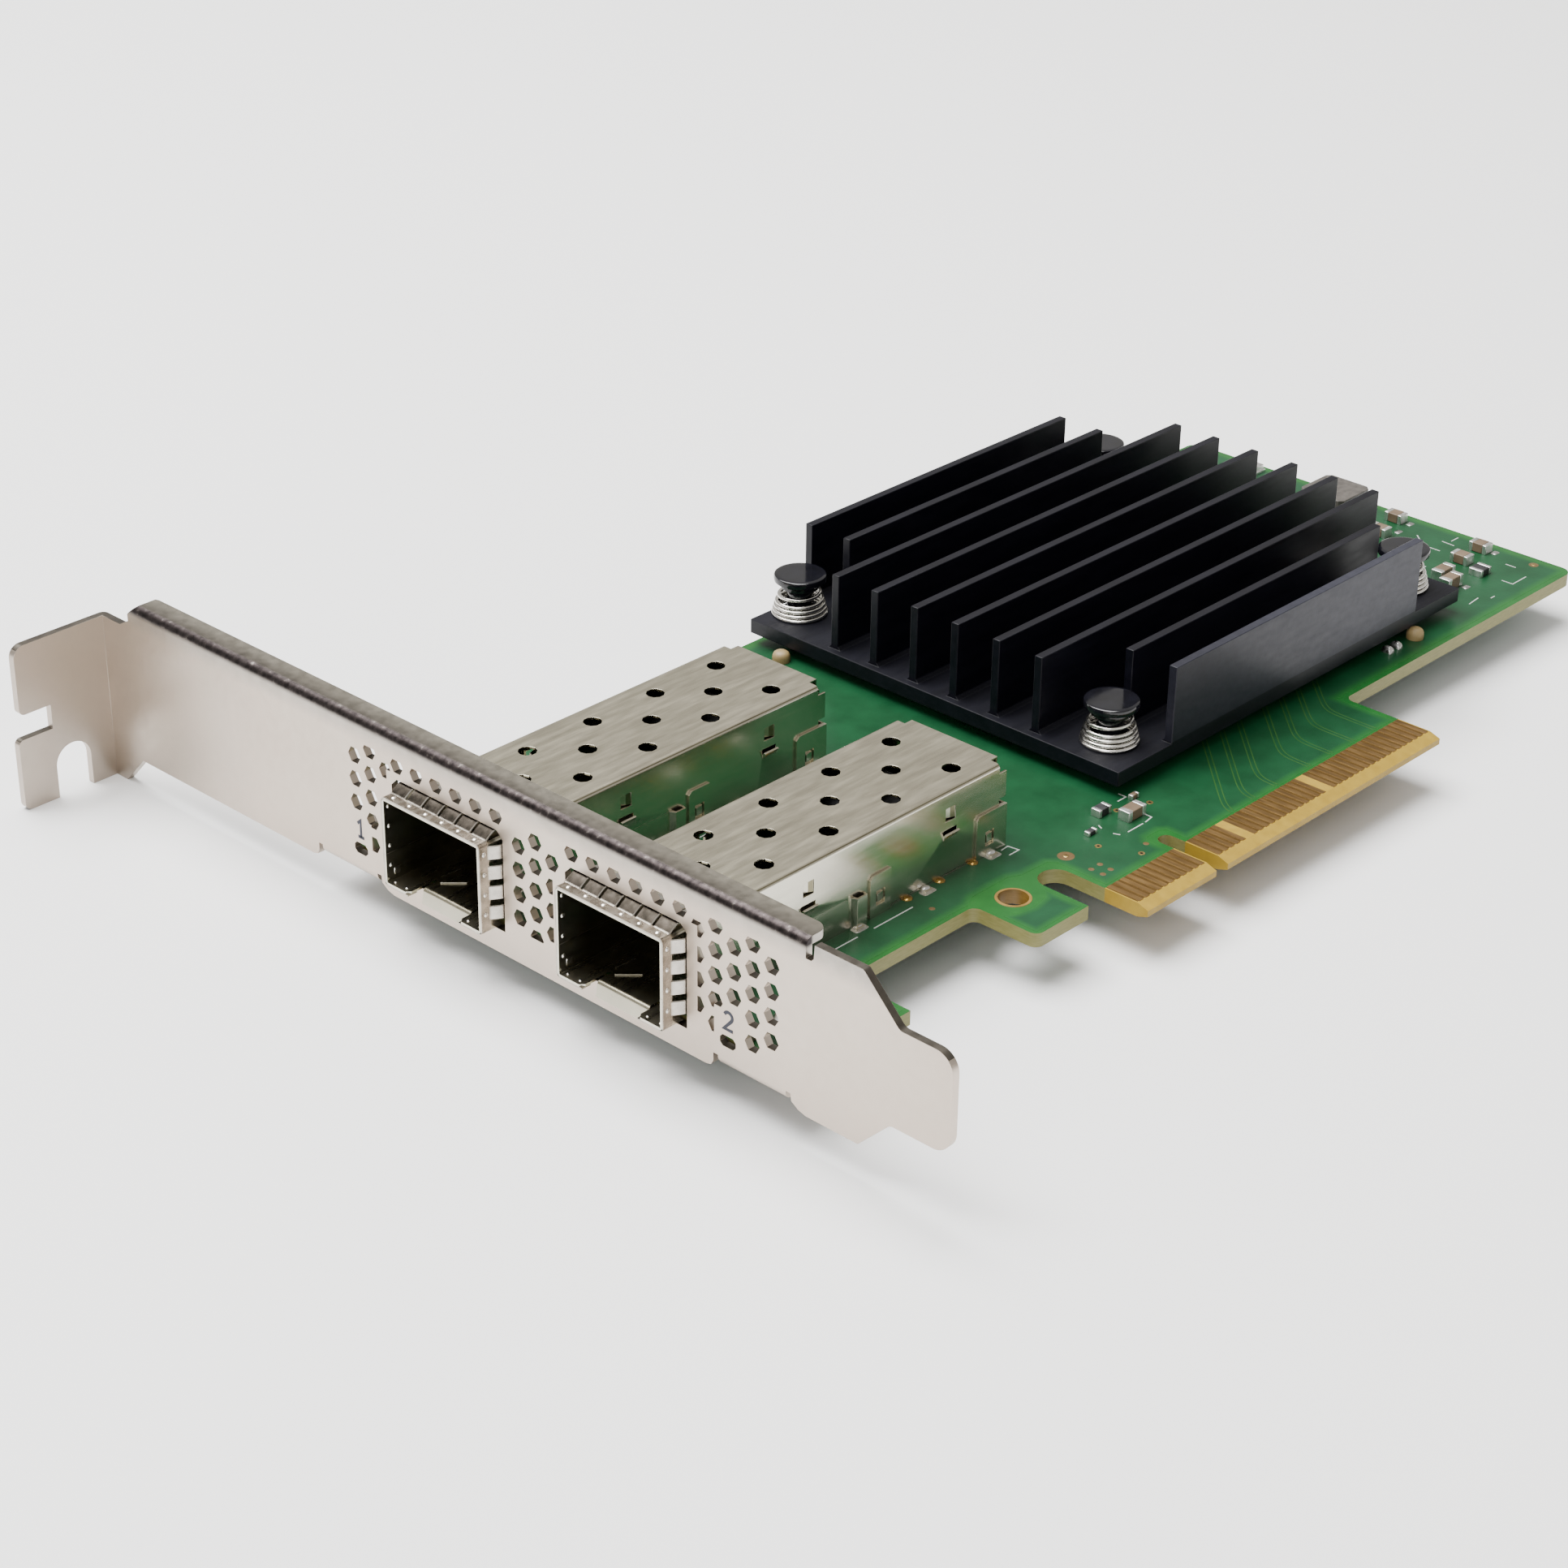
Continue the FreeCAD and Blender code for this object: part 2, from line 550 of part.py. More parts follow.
def cage_cover():
    """Top, side walls and upper rear wall folded from one sheet."""
    half = CAGE_WIDTH / 2
    inner = half - CAGE_SHEET
    low = CAGE_SHEET + 0.05
    roof = CAGE_HEIGHT - CAGE_SHEET
    end = cage_end()
    seam_end = end - SEAM_LAST
    rear_low = LATCH_PLATES[1][2]
    channel = [(-half, low), (-half, CAGE_HEIGHT, CAGE_BEND), (half, CAGE_HEIGHT, CAGE_BEND),
               (half, low), (inner, low), (inner, roof), (-inner, roof), (-inner, low)]
    walls = [plate_yz(channel, CAGE_FRONT, end),
             box(end - CAGE_SHEET, end, -inner + 0.6, inner - 0.6, rear_low + 0.3, CAGE_HEIGHT - 0.1)]
    wedge = [(-0.5, half - 0.1), (0.5, half - 0.1), (0.5, half + 0.15), (-0.5, half + 0.3)]
    catch = plate_xy(wedge, 1.6, 2.5)
    pins = [both_sides(box(x - 0.35, x + 0.35, inner, half, -2.3, low + 0.1)) for x in cage_pin_x()]
    cuts = both_sides(box(CAGE_FRONT - 1, seam_end, inner - 1, half + 1, -1, SEAM_HEIGHT + SEAT_GAP))
    cuts += both_sides(box(end - 1.1, end + 1, half - 1.3, half + 1, CAGE_HEIGHT - 1.1, CAGE_HEIGHT + 1))
    cuts += both_sides(box(end - 1.0, end + 1, half - 1, half + 1, rear_low, rear_low + 0.7))
    for i, side in ((i, side) for i in range(4) for side in (1, -1)):
        x = end - CAGE_HOLE_LAST - i * CAGE_HOLE_PITCH
        cuts.append(small_hole(x, side * CAGE_HOLE_ROW, roof - 1, CAGE_HEIGHT + 1, CAGE_HOLE_R))
    for i in range(4):
        x = end - CAGE_HOLE_LAST - (i + 0.5) * CAGE_HOLE_PITCH
        cuts.append(small_hole(x, 0, roof - 1, CAGE_HEIGHT + 1, CAGE_HOLE_R))
    extras = [pin for pair in pins[1:] for pin in pair]
    reach = FLAP_SIZE / 2
    for x in (end - ahead for ahead in SIDE_FLAPS):
        cuts += both_sides(box(x - reach, x + reach, inner - 0.01, half + 1, FLAP_Z - reach, FLAP_Z + reach))
        cuts += both_sides(box(x - SCOOP_WIDTH / 2, x + SCOOP_WIDTH / 2, inner - 0.01, half + 1,
                               SCOOP_Z + 0.2, SCOOP_Z + SCOOP_HEIGHT + 0.25))
        extras += both_sides(side_flap(x)) + both_sides(side_scoop(x))
    for ahead in LATCH_CATCHES:
        extras += both_sides(catch.translated(Vector(end - ahead, 0, 0)))
    return union([union(walls).cut(cuts)] + extras), pins[0]


def seam_pocket():
    """Scoop that wraps the cover's wall at the rear end of the seam, hollow behind its face."""
    half = CAGE_WIDTH / 2
    out = half + SEAT_GAP
    x = cage_end() - SEAM_LAST
    deep = half + POCKET_DEPTH
    shell = [(x - 0.6, half - 0.1), (x, half - 0.1), (x, out), (x + 1.4, out), (x + 1.2, deep),
             (x - 0.2, deep)]
    hollow = [(x - 0.1, out), (x + 1.1, out), (x + 1.0, deep - 0.2), (x, deep - 0.2)]
    return plate_xy(shell, 0, SEAM_HEIGHT).cut(plate_xy(hollow, SEAM_HEIGHT - 1.2, SEAM_HEIGHT + 1))


def cage_base(front_pins):
    """Floor with low side walls, rear wall and latch plates that clip over the cover."""
    half = CAGE_WIDTH / 2
    inner = half - CAGE_SHEET
    end = cage_end()
    out = half + SEAT_GAP
    notch = 3.7
    floor = [(CAGE_FRONT, -half), (CAGE_FRONT, -notch - 0.4), (CAGE_FRONT + 0.5, -notch), (1.6, -notch),
             (1.6, notch), (CAGE_FRONT + 0.5, notch), (CAGE_FRONT, notch + 0.4), (CAGE_FRONT, half),
             (end, half), (end, -half)]
    pieces = [plate_xy(floor, 0, CAGE_SHEET)]
    pieces += both_sides(box(CAGE_FRONT, end - SEAM_LAST, inner, half, 0, SEAM_HEIGHT))
    pieces.append(box(end - CAGE_SHEET, end, -inner, inner, 0, LATCH_PLATES[1][2]))
    for start, stop, high in LATCH_PLATES:
        x0, x1 = end - start, end - stop
        outline = [(x0, 0), (x1, 0), (x1, high), (x0 + 0.4, high), (x0, high - 0.4)]
        plate = plate_xz(outline, out, out + CAGE_SHEET)
        pieces += both_sides(plate) + both_sides(box(x0, x1, half - 0.1, out + CAGE_SHEET, 0, CAGE_SHEET))
    pieces += both_sides(seam_pocket())
    for x in (end - ahead for ahead in CAGE_FEET):
        pieces += both_sides(box(x - 0.5, x + 0.5, inner, half + 0.9, 0, CAGE_SHEET))
    tongue = [(2.0, 0), (-0.15, 0, 0.3), (-0.45, -1.5), (-0.7, -1.45), (-0.4, CAGE_SHEET, 0.5),
              (2.0, CAGE_SHEET)]
    pieces.append(plate_xz(tongue, -3.4, 3.4))
    base = union(pieces)
    cuts = [box(end - SEAM_LAST + 4.0, end - 1.0, 1.4 - inner, inner - 1.4, -1, 1)]
    for x in cage_pin_x()[1:]:
        cuts += both_sides(box(x - 0.4, x + 0.4, inner - 0.05, half + 0.01, -1, 1))
    for x in (end - ahead for ahead in LATCH_CATCHES):
        cuts += both_sides(box(x - 0.65, x + 0.65, half, half + 1, 1.2, 2.9))
    cuts.append(plate_xy([(9.5, -2.2), (9.5, 2.2), (4.5, 0.0)], -1, 1))
    latch = plate_xy([(9.6, -0.9), (9.6, 0.9), (5.6, 0)], 0, CAGE_SHEET)
    return union([base.cut(cuts), latch] + front_pins)


def finger_strip(wide, count, gap):
    """A row of bowed fingers across a width, lying on Z = 0 with the lip at the cage's front. The
    slits between them widen from the lip to the fingers' free ends."""
    lip = CAGE_FRONT + COLLAR_BAND
    profile = [(CAGE_FRONT, 0), (lip, 0), (-0.3, FINGER_BOW), (0.8, FINGER_BOW), (FINGER_END, 0.02)]
    upper = [(x, z + COLLAR_SHEET) for x, z in reversed(profile)]
    strip = plate_xz(profile + upper, -wide / 2, wide / 2)
    pitch = wide / count
    slit = [(lip - 0.1, -0.05), (FINGER_END + 1, -gap / 2), (FINGER_END + 1, gap / 2), (lip - 0.1, 0.05)]
    slits = [plate_xy([(x, y - wide / 2 + i * pitch) for x, y in slit], -1, 3) for i in range(1, count)]
    return strip.cut(slits)


def emi_collar():
    """Spring-finger strip round the cage's mouth, open below where the floor is cut out."""
    half = CAGE_WIDTH / 2
    out = half + COLLAR_SHEET
    low = -COLLAR_SHEET
    ring = [(-3.7, low), (-out, low, CAGE_BEND), (-out, CAGE_HEIGHT + COLLAR_SHEET, CAGE_BEND + COLLAR_SHEET),
            (out, CAGE_HEIGHT + COLLAR_SHEET, CAGE_BEND + COLLAR_SHEET), (out, low, CAGE_BEND), (3.7, low),
            (3.7, 0), (half, 0), (half, CAGE_HEIGHT, CAGE_BEND), (-half, CAGE_HEIGHT, CAGE_BEND),
            (-half, 0), (-3.7, 0)]
    band = plate_yz(ring, CAGE_FRONT, CAGE_FRONT + COLLAR_BAND)
    top = finger_strip(CAGE_WIDTH - 1.2, TOP_FINGERS, 0.3)
    top.translate(Vector(0, 0, CAGE_HEIGHT))
    side = finger_strip(CAGE_HEIGHT - 1.0, SIDE_FINGERS, 1.3)
    side.rotate(Vector(0, 0, 0), Vector(1, 0, 0), -90)
    side.translate(Vector(0, half, CAGE_HEIGHT / 2))
    return union([band, top] + both_sides(side))


def sfp_connector():
    """Twenty-way surface-mount connector at the back of the bay, with its card slot."""
    rear = cage_end() - CONNECTOR_LAST
    front = rear - CONNECTOR_LENGTH
    side, top = CONNECTOR_WIDTH / 2, CONNECTOR_HEIGHT
    body = plate_xz([(front, 0.3), (rear, 0.3), (rear, top - 1.1), (rear - 1.2, top), (front + 1.0, top),
                     (front, top - 0.7)], -side, side)
    slot = box(front - 1, front + 0.6 * CONNECTOR_LENGTH, 0.9 - side, side - 0.9, 3.2, 4.4)
    return body.cut(slot)


def sfp_contacts():
    """Tails of the contacts, soldered to the board behind the housing."""
    rear = cage_end() - CONNECTOR_LAST
    contacts = []
    for i in range(10):
        y = (i - 4.5) * 0.8
        contacts.append(box(rear, rear + 1.6, y - 0.15, y + 0.15, 0, 0.5))
    return Part.makeCompound(contacts)


def at_port(shape, y):
    """Shape moved to a port's centre line."""
    return shape.translated(Vector(0, y, 0))


def status_led(y):
    """Side-view light-emitting diode behind a light hole: body and domed lens."""
    back = BOARD_FRONT + 1.6
    body = box(BOARD_FRONT + 0.5, back, y - 0.95, y + 0.95, 0, 1.2)
    lens = plate_xy([(BOARD_FRONT + 0.5, y - 0.8), (BOARD_FRONT + 0.5, y + 0.8),
                     (BOARD_FRONT + 0.1, y + 0.5), (BOARD_FRONT + 0.1, y - 0.5)], 0.1, 1.1)
    return union([body, lens])


# --- heat sink ----------------------------------------------------------------------------------
def fin_centres():
    """Y places of the fins' middles, the outer ones flush with the plate's sides."""
    span = SINK_WIDTH - FIN_THICK
    return [SINK_CENTRE_Y - span / 2 + i * span / (FIN_COUNT - 1) for i in range(FIN_COUNT)]


def heat_sink():
    """Extruded plate with fins that widen at their roots and end short of the plate's ends."""
    low, top = SINK_BOTTOM, SINK_BOTTOM + SINK_PLATE
    tip = top + FIN_HEIGHT
    half = FIN_THICK / 2
    side = SINK_WIDTH / 2
    corners = [(SINK_CENTRE_Y + side, low), (SINK_CENTRE_Y - side, low)]
    last = FIN_COUNT - 1
    for i, y in enumerate(fin_centres()):
        if i > 0:
            corners += [(y - half - FIN_ROOT, top), (y - half, top + FIN_ROOT)]
        corners += [(y - half, tip), (y + half, tip)]
        if i < last:
            corners += [(y + half, top + FIN_ROOT), (y + half + FIN_ROOT, top)]
    rear = SINK_FRONT + SINK_LENGTH
    sink = plate_yz(corners, SINK_FRONT, rear)
    cuts = [box(SINK_FRONT - 1, SINK_FRONT + FIN_INSET, 0, 90, top, tip + 1),
            box(rear - FIN_INSET, rear + 1, 0, 90, top, tip + 1)]
    for x0, x1 in ((SINK_FRONT - 1, SINK_FRONT + CORNER_LENGTH), (rear - CORNER_LENGTH, rear + 1)):
        for edge in (-1, 1):
            outer = SINK_CENTRE_Y + edge * (side + 1)
            inner = SINK_CENTRE_Y + edge * (side - CORNER_WIDTH)
            cuts.append(box(x0, x1, min(outer, inner), max(outer, inner), top, tip + 1))
    cuts += [small_hole(x, y, low - 1, top + 1, PIN_HOLE_R) for x, y in sink_pins()]
    return sink.cut(cuts)


def push_pin(x, y):
    """Moulded pin: disc head, spring collar, shaft and a split barb under the board."""
    under = -BOARD_THICK
    head_low = PIN_HEAD_TOP - PIN_HEAD_THICK
    profile = [(0.9, under - 3.0), (PIN_BARB_R, under - 0.6), (PIN_BARB_R, under - 0.1), (PIN_SHAFT_R, under),
               (PIN_SHAFT_R, PIN_COLLAR_LOW), (PIN_COLLAR_R, PIN_COLLAR_LOW), (PIN_COLLAR_R, head_low),
               (PIN_HEAD_R, head_low + 0.15), (PIN_HEAD_R, PIN_HEAD_TOP)]
    slit = box(x - 0.3, x + 0.3, y - 3, y + 3, under - 4, under + 1.0)
    return turned(profile, x, y).cut(slit)


def spring_point(turn):
    """Coil radius and wire height after a number of turns: close-wound first, then open."""
    turns = SPRING_CLOSED + SPRING_OPEN
    low = SINK_BOTTOM + SINK_PLATE + SPRING_WIRE / 2
    high = PIN_COLLAR_LOW - SPRING_WIRE / 2
    closed_rise = SPRING_WIRE * SPRING_CLOSED
    if turn <= SPRING_CLOSED:
        rise = turn * SPRING_WIRE
    else:
        rise = closed_rise + (turn - SPRING_CLOSED) / SPRING_OPEN * (high - low - closed_rise)
    radius = SPRING_BOTTOM_R + (SPRING_TOP_R - SPRING_BOTTOM_R) * turn / turns
    return radius - SPRING_WIRE / 2, low + rise


def pin_spring(x, y):
    """Conical compression spring, its wire a square section on edge carried round the coil."""
    stations = 8
    sections = []
    for step in range(int((SPRING_CLOSED + SPRING_OPEN) * stations) + 1):
        turn = step / stations
        radius, height = spring_point(turn)
        around = 2 * math.pi * turn
        out = Vector(math.cos(around), math.sin(around), 0)
        centre = Vector(x, y, height) + out * radius
        reach, up = out * (SPRING_WIRE / 2), Vector(0, 0, SPRING_WIRE / 2 - SEAT_GAP)
        ring = [centre + reach, centre + up, centre - reach, centre - up, centre + reach]
        sections.append(Part.makePolygon(ring))
    return Part.makeLoft(sections, True, True)


# --- electronic parts ---------------------------------------------------------------------------
def controller_chip():
    """Network controller in the middle, under the heat sink."""
    x, y, half = SINK_FRONT + SINK_LENGTH / 2, SINK_CENTRE_Y, CHIP_SIZE / 2
    return box(x - half, x + half, y - half, y + half, 0, SINK_BOTTOM - PAD_THICK)


def thermal_pad():
    """Soft pad between the controller and the heat sink."""
    x, y, half = SINK_FRONT + SINK_LENGTH / 2, SINK_CENTRE_Y, CHIP_SIZE / 2 - 1.0
    return box(x - half, x + half, y - half, y + half, SINK_BOTTOM - PAD_THICK, SINK_BOTTOM)


CHIP_PARTS = {              # centre x, centre y, length along X, width along Y, height
    "capacitors": [(60.4, 12.6, 2.9, 1.5, 1.2), (63.6, 14.9, 1.2, 0.6, 0.6),
                   (BOARD_REAR - 2.5, 36.0, 1.6, 2.4, 1.2), (BOARD_REAR - 7.4, 35.0, 1.6, 2.4, 1.2),
                   (BOARD_REAR - 2.8, 23.6, 1.6, 2.4, 1.2), (BOARD_REAR - 7.2, 23.4, 1.6, 2.4, 1.2),
                   (BOARD_REAR - 14.2, 20.4, 3.0, 1.5, 1.5), (BOARD_REAR - 12.8, 22.4, 3.0, 1.5, 1.5)],
    "chip_beads": [(58.6, 15.2, 2.0, 1.2, 0.9), (54.5, 13.3, 1.4, 0.7, 0.5),
                   (BOARD_REAR - 8.5, 20.0, 2.2, 1.8, 0.9)],
}


def chip_bodies(kind):
    """Ceramic blocks of the two-terminal parts, between their end caps."""
    return Part.makeCompound([box(x - l / 2 + 0.22 * l, x + l / 2 - 0.22 * l, y - w / 2, y + w / 2, 0.05, h)
                              if l >= w else
                              box(x - l / 2, x + l / 2, y - w / 2 + 0.22 * w, y + w / 2 - 0.22 * w, 0.05, h)
                              for x, y, l, w, h in CHIP_PARTS[kind]])


def chip_terminals():
    """Tinned end caps of every two-terminal part, standing on the board."""
    caps = []
    for x, y, l, w, h in (part for parts in CHIP_PARTS.values() for part in parts):
        for side in (-1, 1):
            if l >= w:
                ends = sorted((x + side * l / 2, x + side * (l / 2 - 0.22 * l)))
                caps.append(box(*ends, y - w / 2, y + w / 2, 0, h))
            else:
                ends = sorted((y + side * w / 2, y + side * (w / 2 - 0.22 * w)))
                caps.append(box(x - l / 2, x + l / 2, *ends, 0, h))
    return Part.makeCompound(caps)


def power_inductor():
    """Moulded block with its upright corners cut."""
    x, y, half = BOARD_REAR - 4.0, 44.2, INDUCTOR_SIZE / 2
    cut = half - 0.6
    corners = [(x + a, y + b) for a, b in ((-cut, -half), (cut, -half), (half, -cut), (half, cut),
                                           (cut, half), (-cut, half), (-half, cut), (-half, -cut))]
    return plate_xy(corners, 0, INDUCTOR_HEIGHT)


def crystal_can():
    """Metal-lidded oscillator near the rear edge."""
    x, y = BOARD_REAR - 2.9, 58.15
    long, wide = 1.8, 1.45
    return union([box(x - long, x + long, y - wide, y + wide, 0, 0.4),
                  box(x - long + 0.2, x + long - 0.2, y - wide + 0.2, y + wide - 0.2, 0.4, 1.0)])


def flash_memory():
    """Eight-lead memory chip behind the upper cage."""
    outline = [(27.6, 0.2), (27.45, 0.9), (27.6, 1.6), (32.4, 1.6), (32.55, 0.9), (32.4, 0.2)]
    return plate_xz(outline, 60.8, 64.7)


def flash_leads():
    """Gull-wing leads of the memory chip."""
    leads = []
    for i in range(4):
        x = 30.0 + (i - 1.5) * 1.27
        near = [(60.8, 0.8), (60.8, 0.6), (60.0, 0), (59.6, 0), (59.6, 0.2)]
        far = [(125.5 - y, z) for y, z in near]
        leads += [plate_yz(near, x - 0.2, x + 0.2), plate_yz(far, x - 0.2, x + 0.2)]
    return Part.makeCompound(leads)


def solder_side_capacitors():
    """Decoupling capacitors under the controller, on the solder face."""
    low = -BOARD_THICK
    places = [(SINK_FRONT + SINK_LENGTH / 2 + i * UNDER_PITCH, SINK_CENTRE_Y + j * UNDER_PITCH)
              for i in range(-2, 3) for j in range(-2, 3) if (i + j) % 2 == 0]
    return Part.makeCompound([box(x - UNDER_LENGTH / 2, x + UNDER_LENGTH / 2, y - UNDER_LENGTH / 4,
                                  y + UNDER_LENGTH / 4, low - UNDER_HEIGHT, low) for x, y in places])


def sink_bumpers():
    """Domed silicone stops under two edges of the heat sink."""
    upper = SINK_CENTRE_Y + SINK_WIDTH / 2
    profile = [(STOP_R, 0), (STOP_R, 0.5 * SINK_BOTTOM), (0.75 * STOP_R, 0.85 * SINK_BOTTOM),
               (0.35 * STOP_R, SINK_BOTTOM - SEAT_GAP)]
    return Part.makeCompound([turned(profile, SINK_FRONT + along, upper - down, 8)
                              for along, down in STOP_INSETS])


# --- assembly -----------------------------------------------------------------------------------
def nodes():
    """Every named piece with its shape."""
    pieces = {"circuit_board": circuit_board(),
              "edge_contacts_top": edge_contacts(0),
              "edge_contacts_bottom": edge_contacts(-BOARD_THICK - CONTACT_THICK),
              "bracket": bracket(),
              "bracket_screws": bracket_screws()}
    cover, front_pins = cage_cover()
    base = cage_base(front_pins)
    collar = emi_collar()
    connector = sfp_connector()
    contacts = sfp_contacts()
    for i, y in enumerate(PORT_Y, 1):
        pieces[f"cage_cover_{i}"] = at_port(cover, y)
        pieces[f"cage_base_{i}"] = at_port(base, y)
        pieces[f"emi_collar_{i}"] = at_port(collar, y)
        pieces[f"sfp_connector_{i}"] = at_port(connector, y)
        pieces[f"sfp_contacts_{i}"] = at_port(contacts, y)
        pieces[f"status_led_{i}"] = status_led(light_holes()[i - 1])
    pieces["heat_sink"] = heat_sink()
    pieces["thermal_pad"] = thermal_pad()
    pieces["controller_chip"] = controller_chip()
    for i, (x, y) in enumerate(sink_pins(), 1):
        pieces[f"push_pin_{i}"] = push_pin(x, y)
        pieces[f"pin_spring_{i}"] = pin_spring(x, y)
    pieces["sink_bumpers"] = sink_bumpers()
    pieces["capacitor_bodies"] = chip_bodies("capacitors")
    pieces["bead_bodies"] = chip_bodies("chip_beads")
    pieces["chip_terminals"] = chip_terminals()
    pieces["solder_side_capacitors"] = solder_side_capacitors()
    pieces["power_inductor"] = power_inductor()
    pieces["crystal_can"] = crystal_can()
    pieces["flash_memory"] = flash_memory()
    pieces["flash_leads"] = flash_leads()
    return pieces


def export():
    """Write each piece with the key's centre at the origin."""
    os.makedirs("parts", exist_ok=True)
    for name, shape in nodes().items():
        moved = shape.translated(Vector(-KEY_FROM_BRACKET, 0, 0))
        moved.exportStep(f"parts/{name}.step")


export()
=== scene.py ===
import bpy
import bmesh
import math
import numpy as np
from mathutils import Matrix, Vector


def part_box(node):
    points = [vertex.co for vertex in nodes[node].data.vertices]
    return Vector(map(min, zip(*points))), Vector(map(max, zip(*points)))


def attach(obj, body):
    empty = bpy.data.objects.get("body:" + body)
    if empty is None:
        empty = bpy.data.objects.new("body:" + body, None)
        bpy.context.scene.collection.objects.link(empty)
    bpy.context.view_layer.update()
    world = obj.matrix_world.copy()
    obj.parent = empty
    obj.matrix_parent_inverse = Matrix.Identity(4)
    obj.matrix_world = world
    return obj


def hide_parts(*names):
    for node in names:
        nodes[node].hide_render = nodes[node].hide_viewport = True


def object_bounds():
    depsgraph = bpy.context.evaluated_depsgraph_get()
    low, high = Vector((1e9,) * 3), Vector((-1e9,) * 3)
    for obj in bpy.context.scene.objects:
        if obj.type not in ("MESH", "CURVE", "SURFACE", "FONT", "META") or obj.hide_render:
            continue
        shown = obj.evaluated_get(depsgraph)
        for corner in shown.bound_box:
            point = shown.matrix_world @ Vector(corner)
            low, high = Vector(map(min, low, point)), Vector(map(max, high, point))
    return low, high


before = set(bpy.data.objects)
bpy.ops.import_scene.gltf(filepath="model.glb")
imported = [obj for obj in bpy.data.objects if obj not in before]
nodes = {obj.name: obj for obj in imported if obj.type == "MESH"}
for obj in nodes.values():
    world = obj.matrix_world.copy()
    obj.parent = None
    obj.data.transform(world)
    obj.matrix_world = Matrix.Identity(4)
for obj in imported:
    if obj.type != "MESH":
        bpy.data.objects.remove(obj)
cad_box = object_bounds()

# === Circuit board ================================================================================
# A pressed laminate of glass cloth and resin, copper clad on both faces, routed to its outline and
# printed with a green solder mask. The mask is brighter where there is no copper under it, and the
# routed edges and the contact tongues show the bare yellowish laminate.
MM = 0.001
low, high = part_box("circuit_board")
BOARD_BACK = high[0] / MM
BOARD_TOP_EDGE = high[1] / MM
BOARD_FACES = (0.0, low[2] / MM)
TONGUE_TOP = 5.4                       # where the solder mask ends above the contacts
TONGUE_FRONT = -12.5                   # the mask covers the stub, ahead of the first tongue
SOLDER_SIDE_BELOW = -1.0
RIM_GREEN = ((0.008, 0.078, 0.013), (0.013, 0.105, 0.018))
DEEP_GREEN = ((0.003, 0.04, 0.013), (0.006, 0.06, 0.021))
CUT_YELLOW = ((0.16, 0.15, 0.045), (0.21, 0.2, 0.07))
RESIN_GOLD = ((0.27, 0.17, 0.014), (0.33, 0.215, 0.024))
MASK_GLOSS = (0.0, 0.33, 0.35)         # metallic, roughness and specular of the solder mask


def shader_of(name, colour, metallic=0.0, roughness=0.5, specular=0.5):
    """New material with a principled shader set to plain values."""
    material = bpy.data.materials.new(name)
    material.use_nodes = True
    shader = material.node_tree.nodes["Principled BSDF"]
    shader.inputs["Base Color"].default_value = (*colour, 1)
    shader.inputs["Metallic"].default_value = metallic
    shader.inputs["Roughness"].default_value = roughness
    shader.inputs["Specular IOR Level"].default_value = specular
    return material, material.node_tree, shader


def place_of(tree):
    """Object coordinates x, y and z, in metres."""
    coords = tree.nodes.new("ShaderNodeTexCoord")
    parts = tree.nodes.new("ShaderNodeSeparateXYZ")
    tree.links.new(coords.outputs["Object"], parts.inputs[0])
    return parts.outputs["X"], parts.outputs["Y"], parts.outputs["Z"]


def maths(tree, operation, value, other=0.0):
    """Maths node on a value and either a fixed number or a second value."""
    node = tree.nodes.new("ShaderNodeMath")
    node.operation = operation
    tree.links.new(value, node.inputs[0])
    if isinstance(other, float):
        node.inputs[1].default_value = other
    else:
        tree.links.new(other, node.inputs[1])
    return node.outputs[0]


def both(tree, first, second):
    """Product of two masks."""
    return maths(tree, "MULTIPLY", first, second)


def below(tree, value, limit):
    """One where a coordinate is under a limit in millimetres, and nought elsewhere."""
    return maths(tree, "LESS_THAN", value, limit * MM)


def above(tree, value, limit):
    """One where a coordinate is over a limit in millimetres, and nought elsewhere."""
    return maths(tree, "GREATER_THAN", value, limit * MM)


def leaning(tree, axis):
    """Size of the surface normal's part along an axis, from 0 to 1."""
    surface = tree.nodes.new("ShaderNodeNewGeometry")
    parts = tree.nodes.new("ShaderNodeSeparateXYZ")
    tree.links.new(surface.outputs["Normal"], parts.inputs[0])
    return maths(tree, "ABSOLUTE", parts.outputs[axis])


def grain(tree, scale, stretch=(1, 1, 1), detail=3.0):
    """Noise on object coordinates, with features about 1/scale metres wide, stretched per axis."""
    coords = tree.nodes.new("ShaderNodeTexCoord")
    mapping = tree.nodes.new("ShaderNodeMapping")
    mapping.inputs["Scale"].default_value = stretch
    noise = tree.nodes.new("ShaderNodeTexNoise")
    noise.inputs["Scale"].default_value = scale
    noise.inputs["Detail"].default_value = detail
    tree.links.new(coords.outputs["Object"], mapping.inputs["Vector"])
    tree.links.new(mapping.outputs["Vector"], noise.inputs["Vector"])
    return noise.outputs["Fac"]


def ramp(tree, value, stops):
    """Colour ramp over a value; stops are (position, colour)."""
    node = tree.nodes.new("ShaderNodeValToRGB")
    points = node.color_ramp.elements
    while len(points) < len(stops):
        points.new(0.5)
    for point, (position, colour) in zip(points, stops):
        point.position = position
        point.color = (*colour, 1)
    tree.links.new(value, node.inputs["Fac"])
    return node.outputs["Color"]


def two_tone(tree, value, first, second):
    """Colour ramp between two colours over the middle of a noise."""
    return ramp(tree, value, [(0.3, first), (0.7, second)])


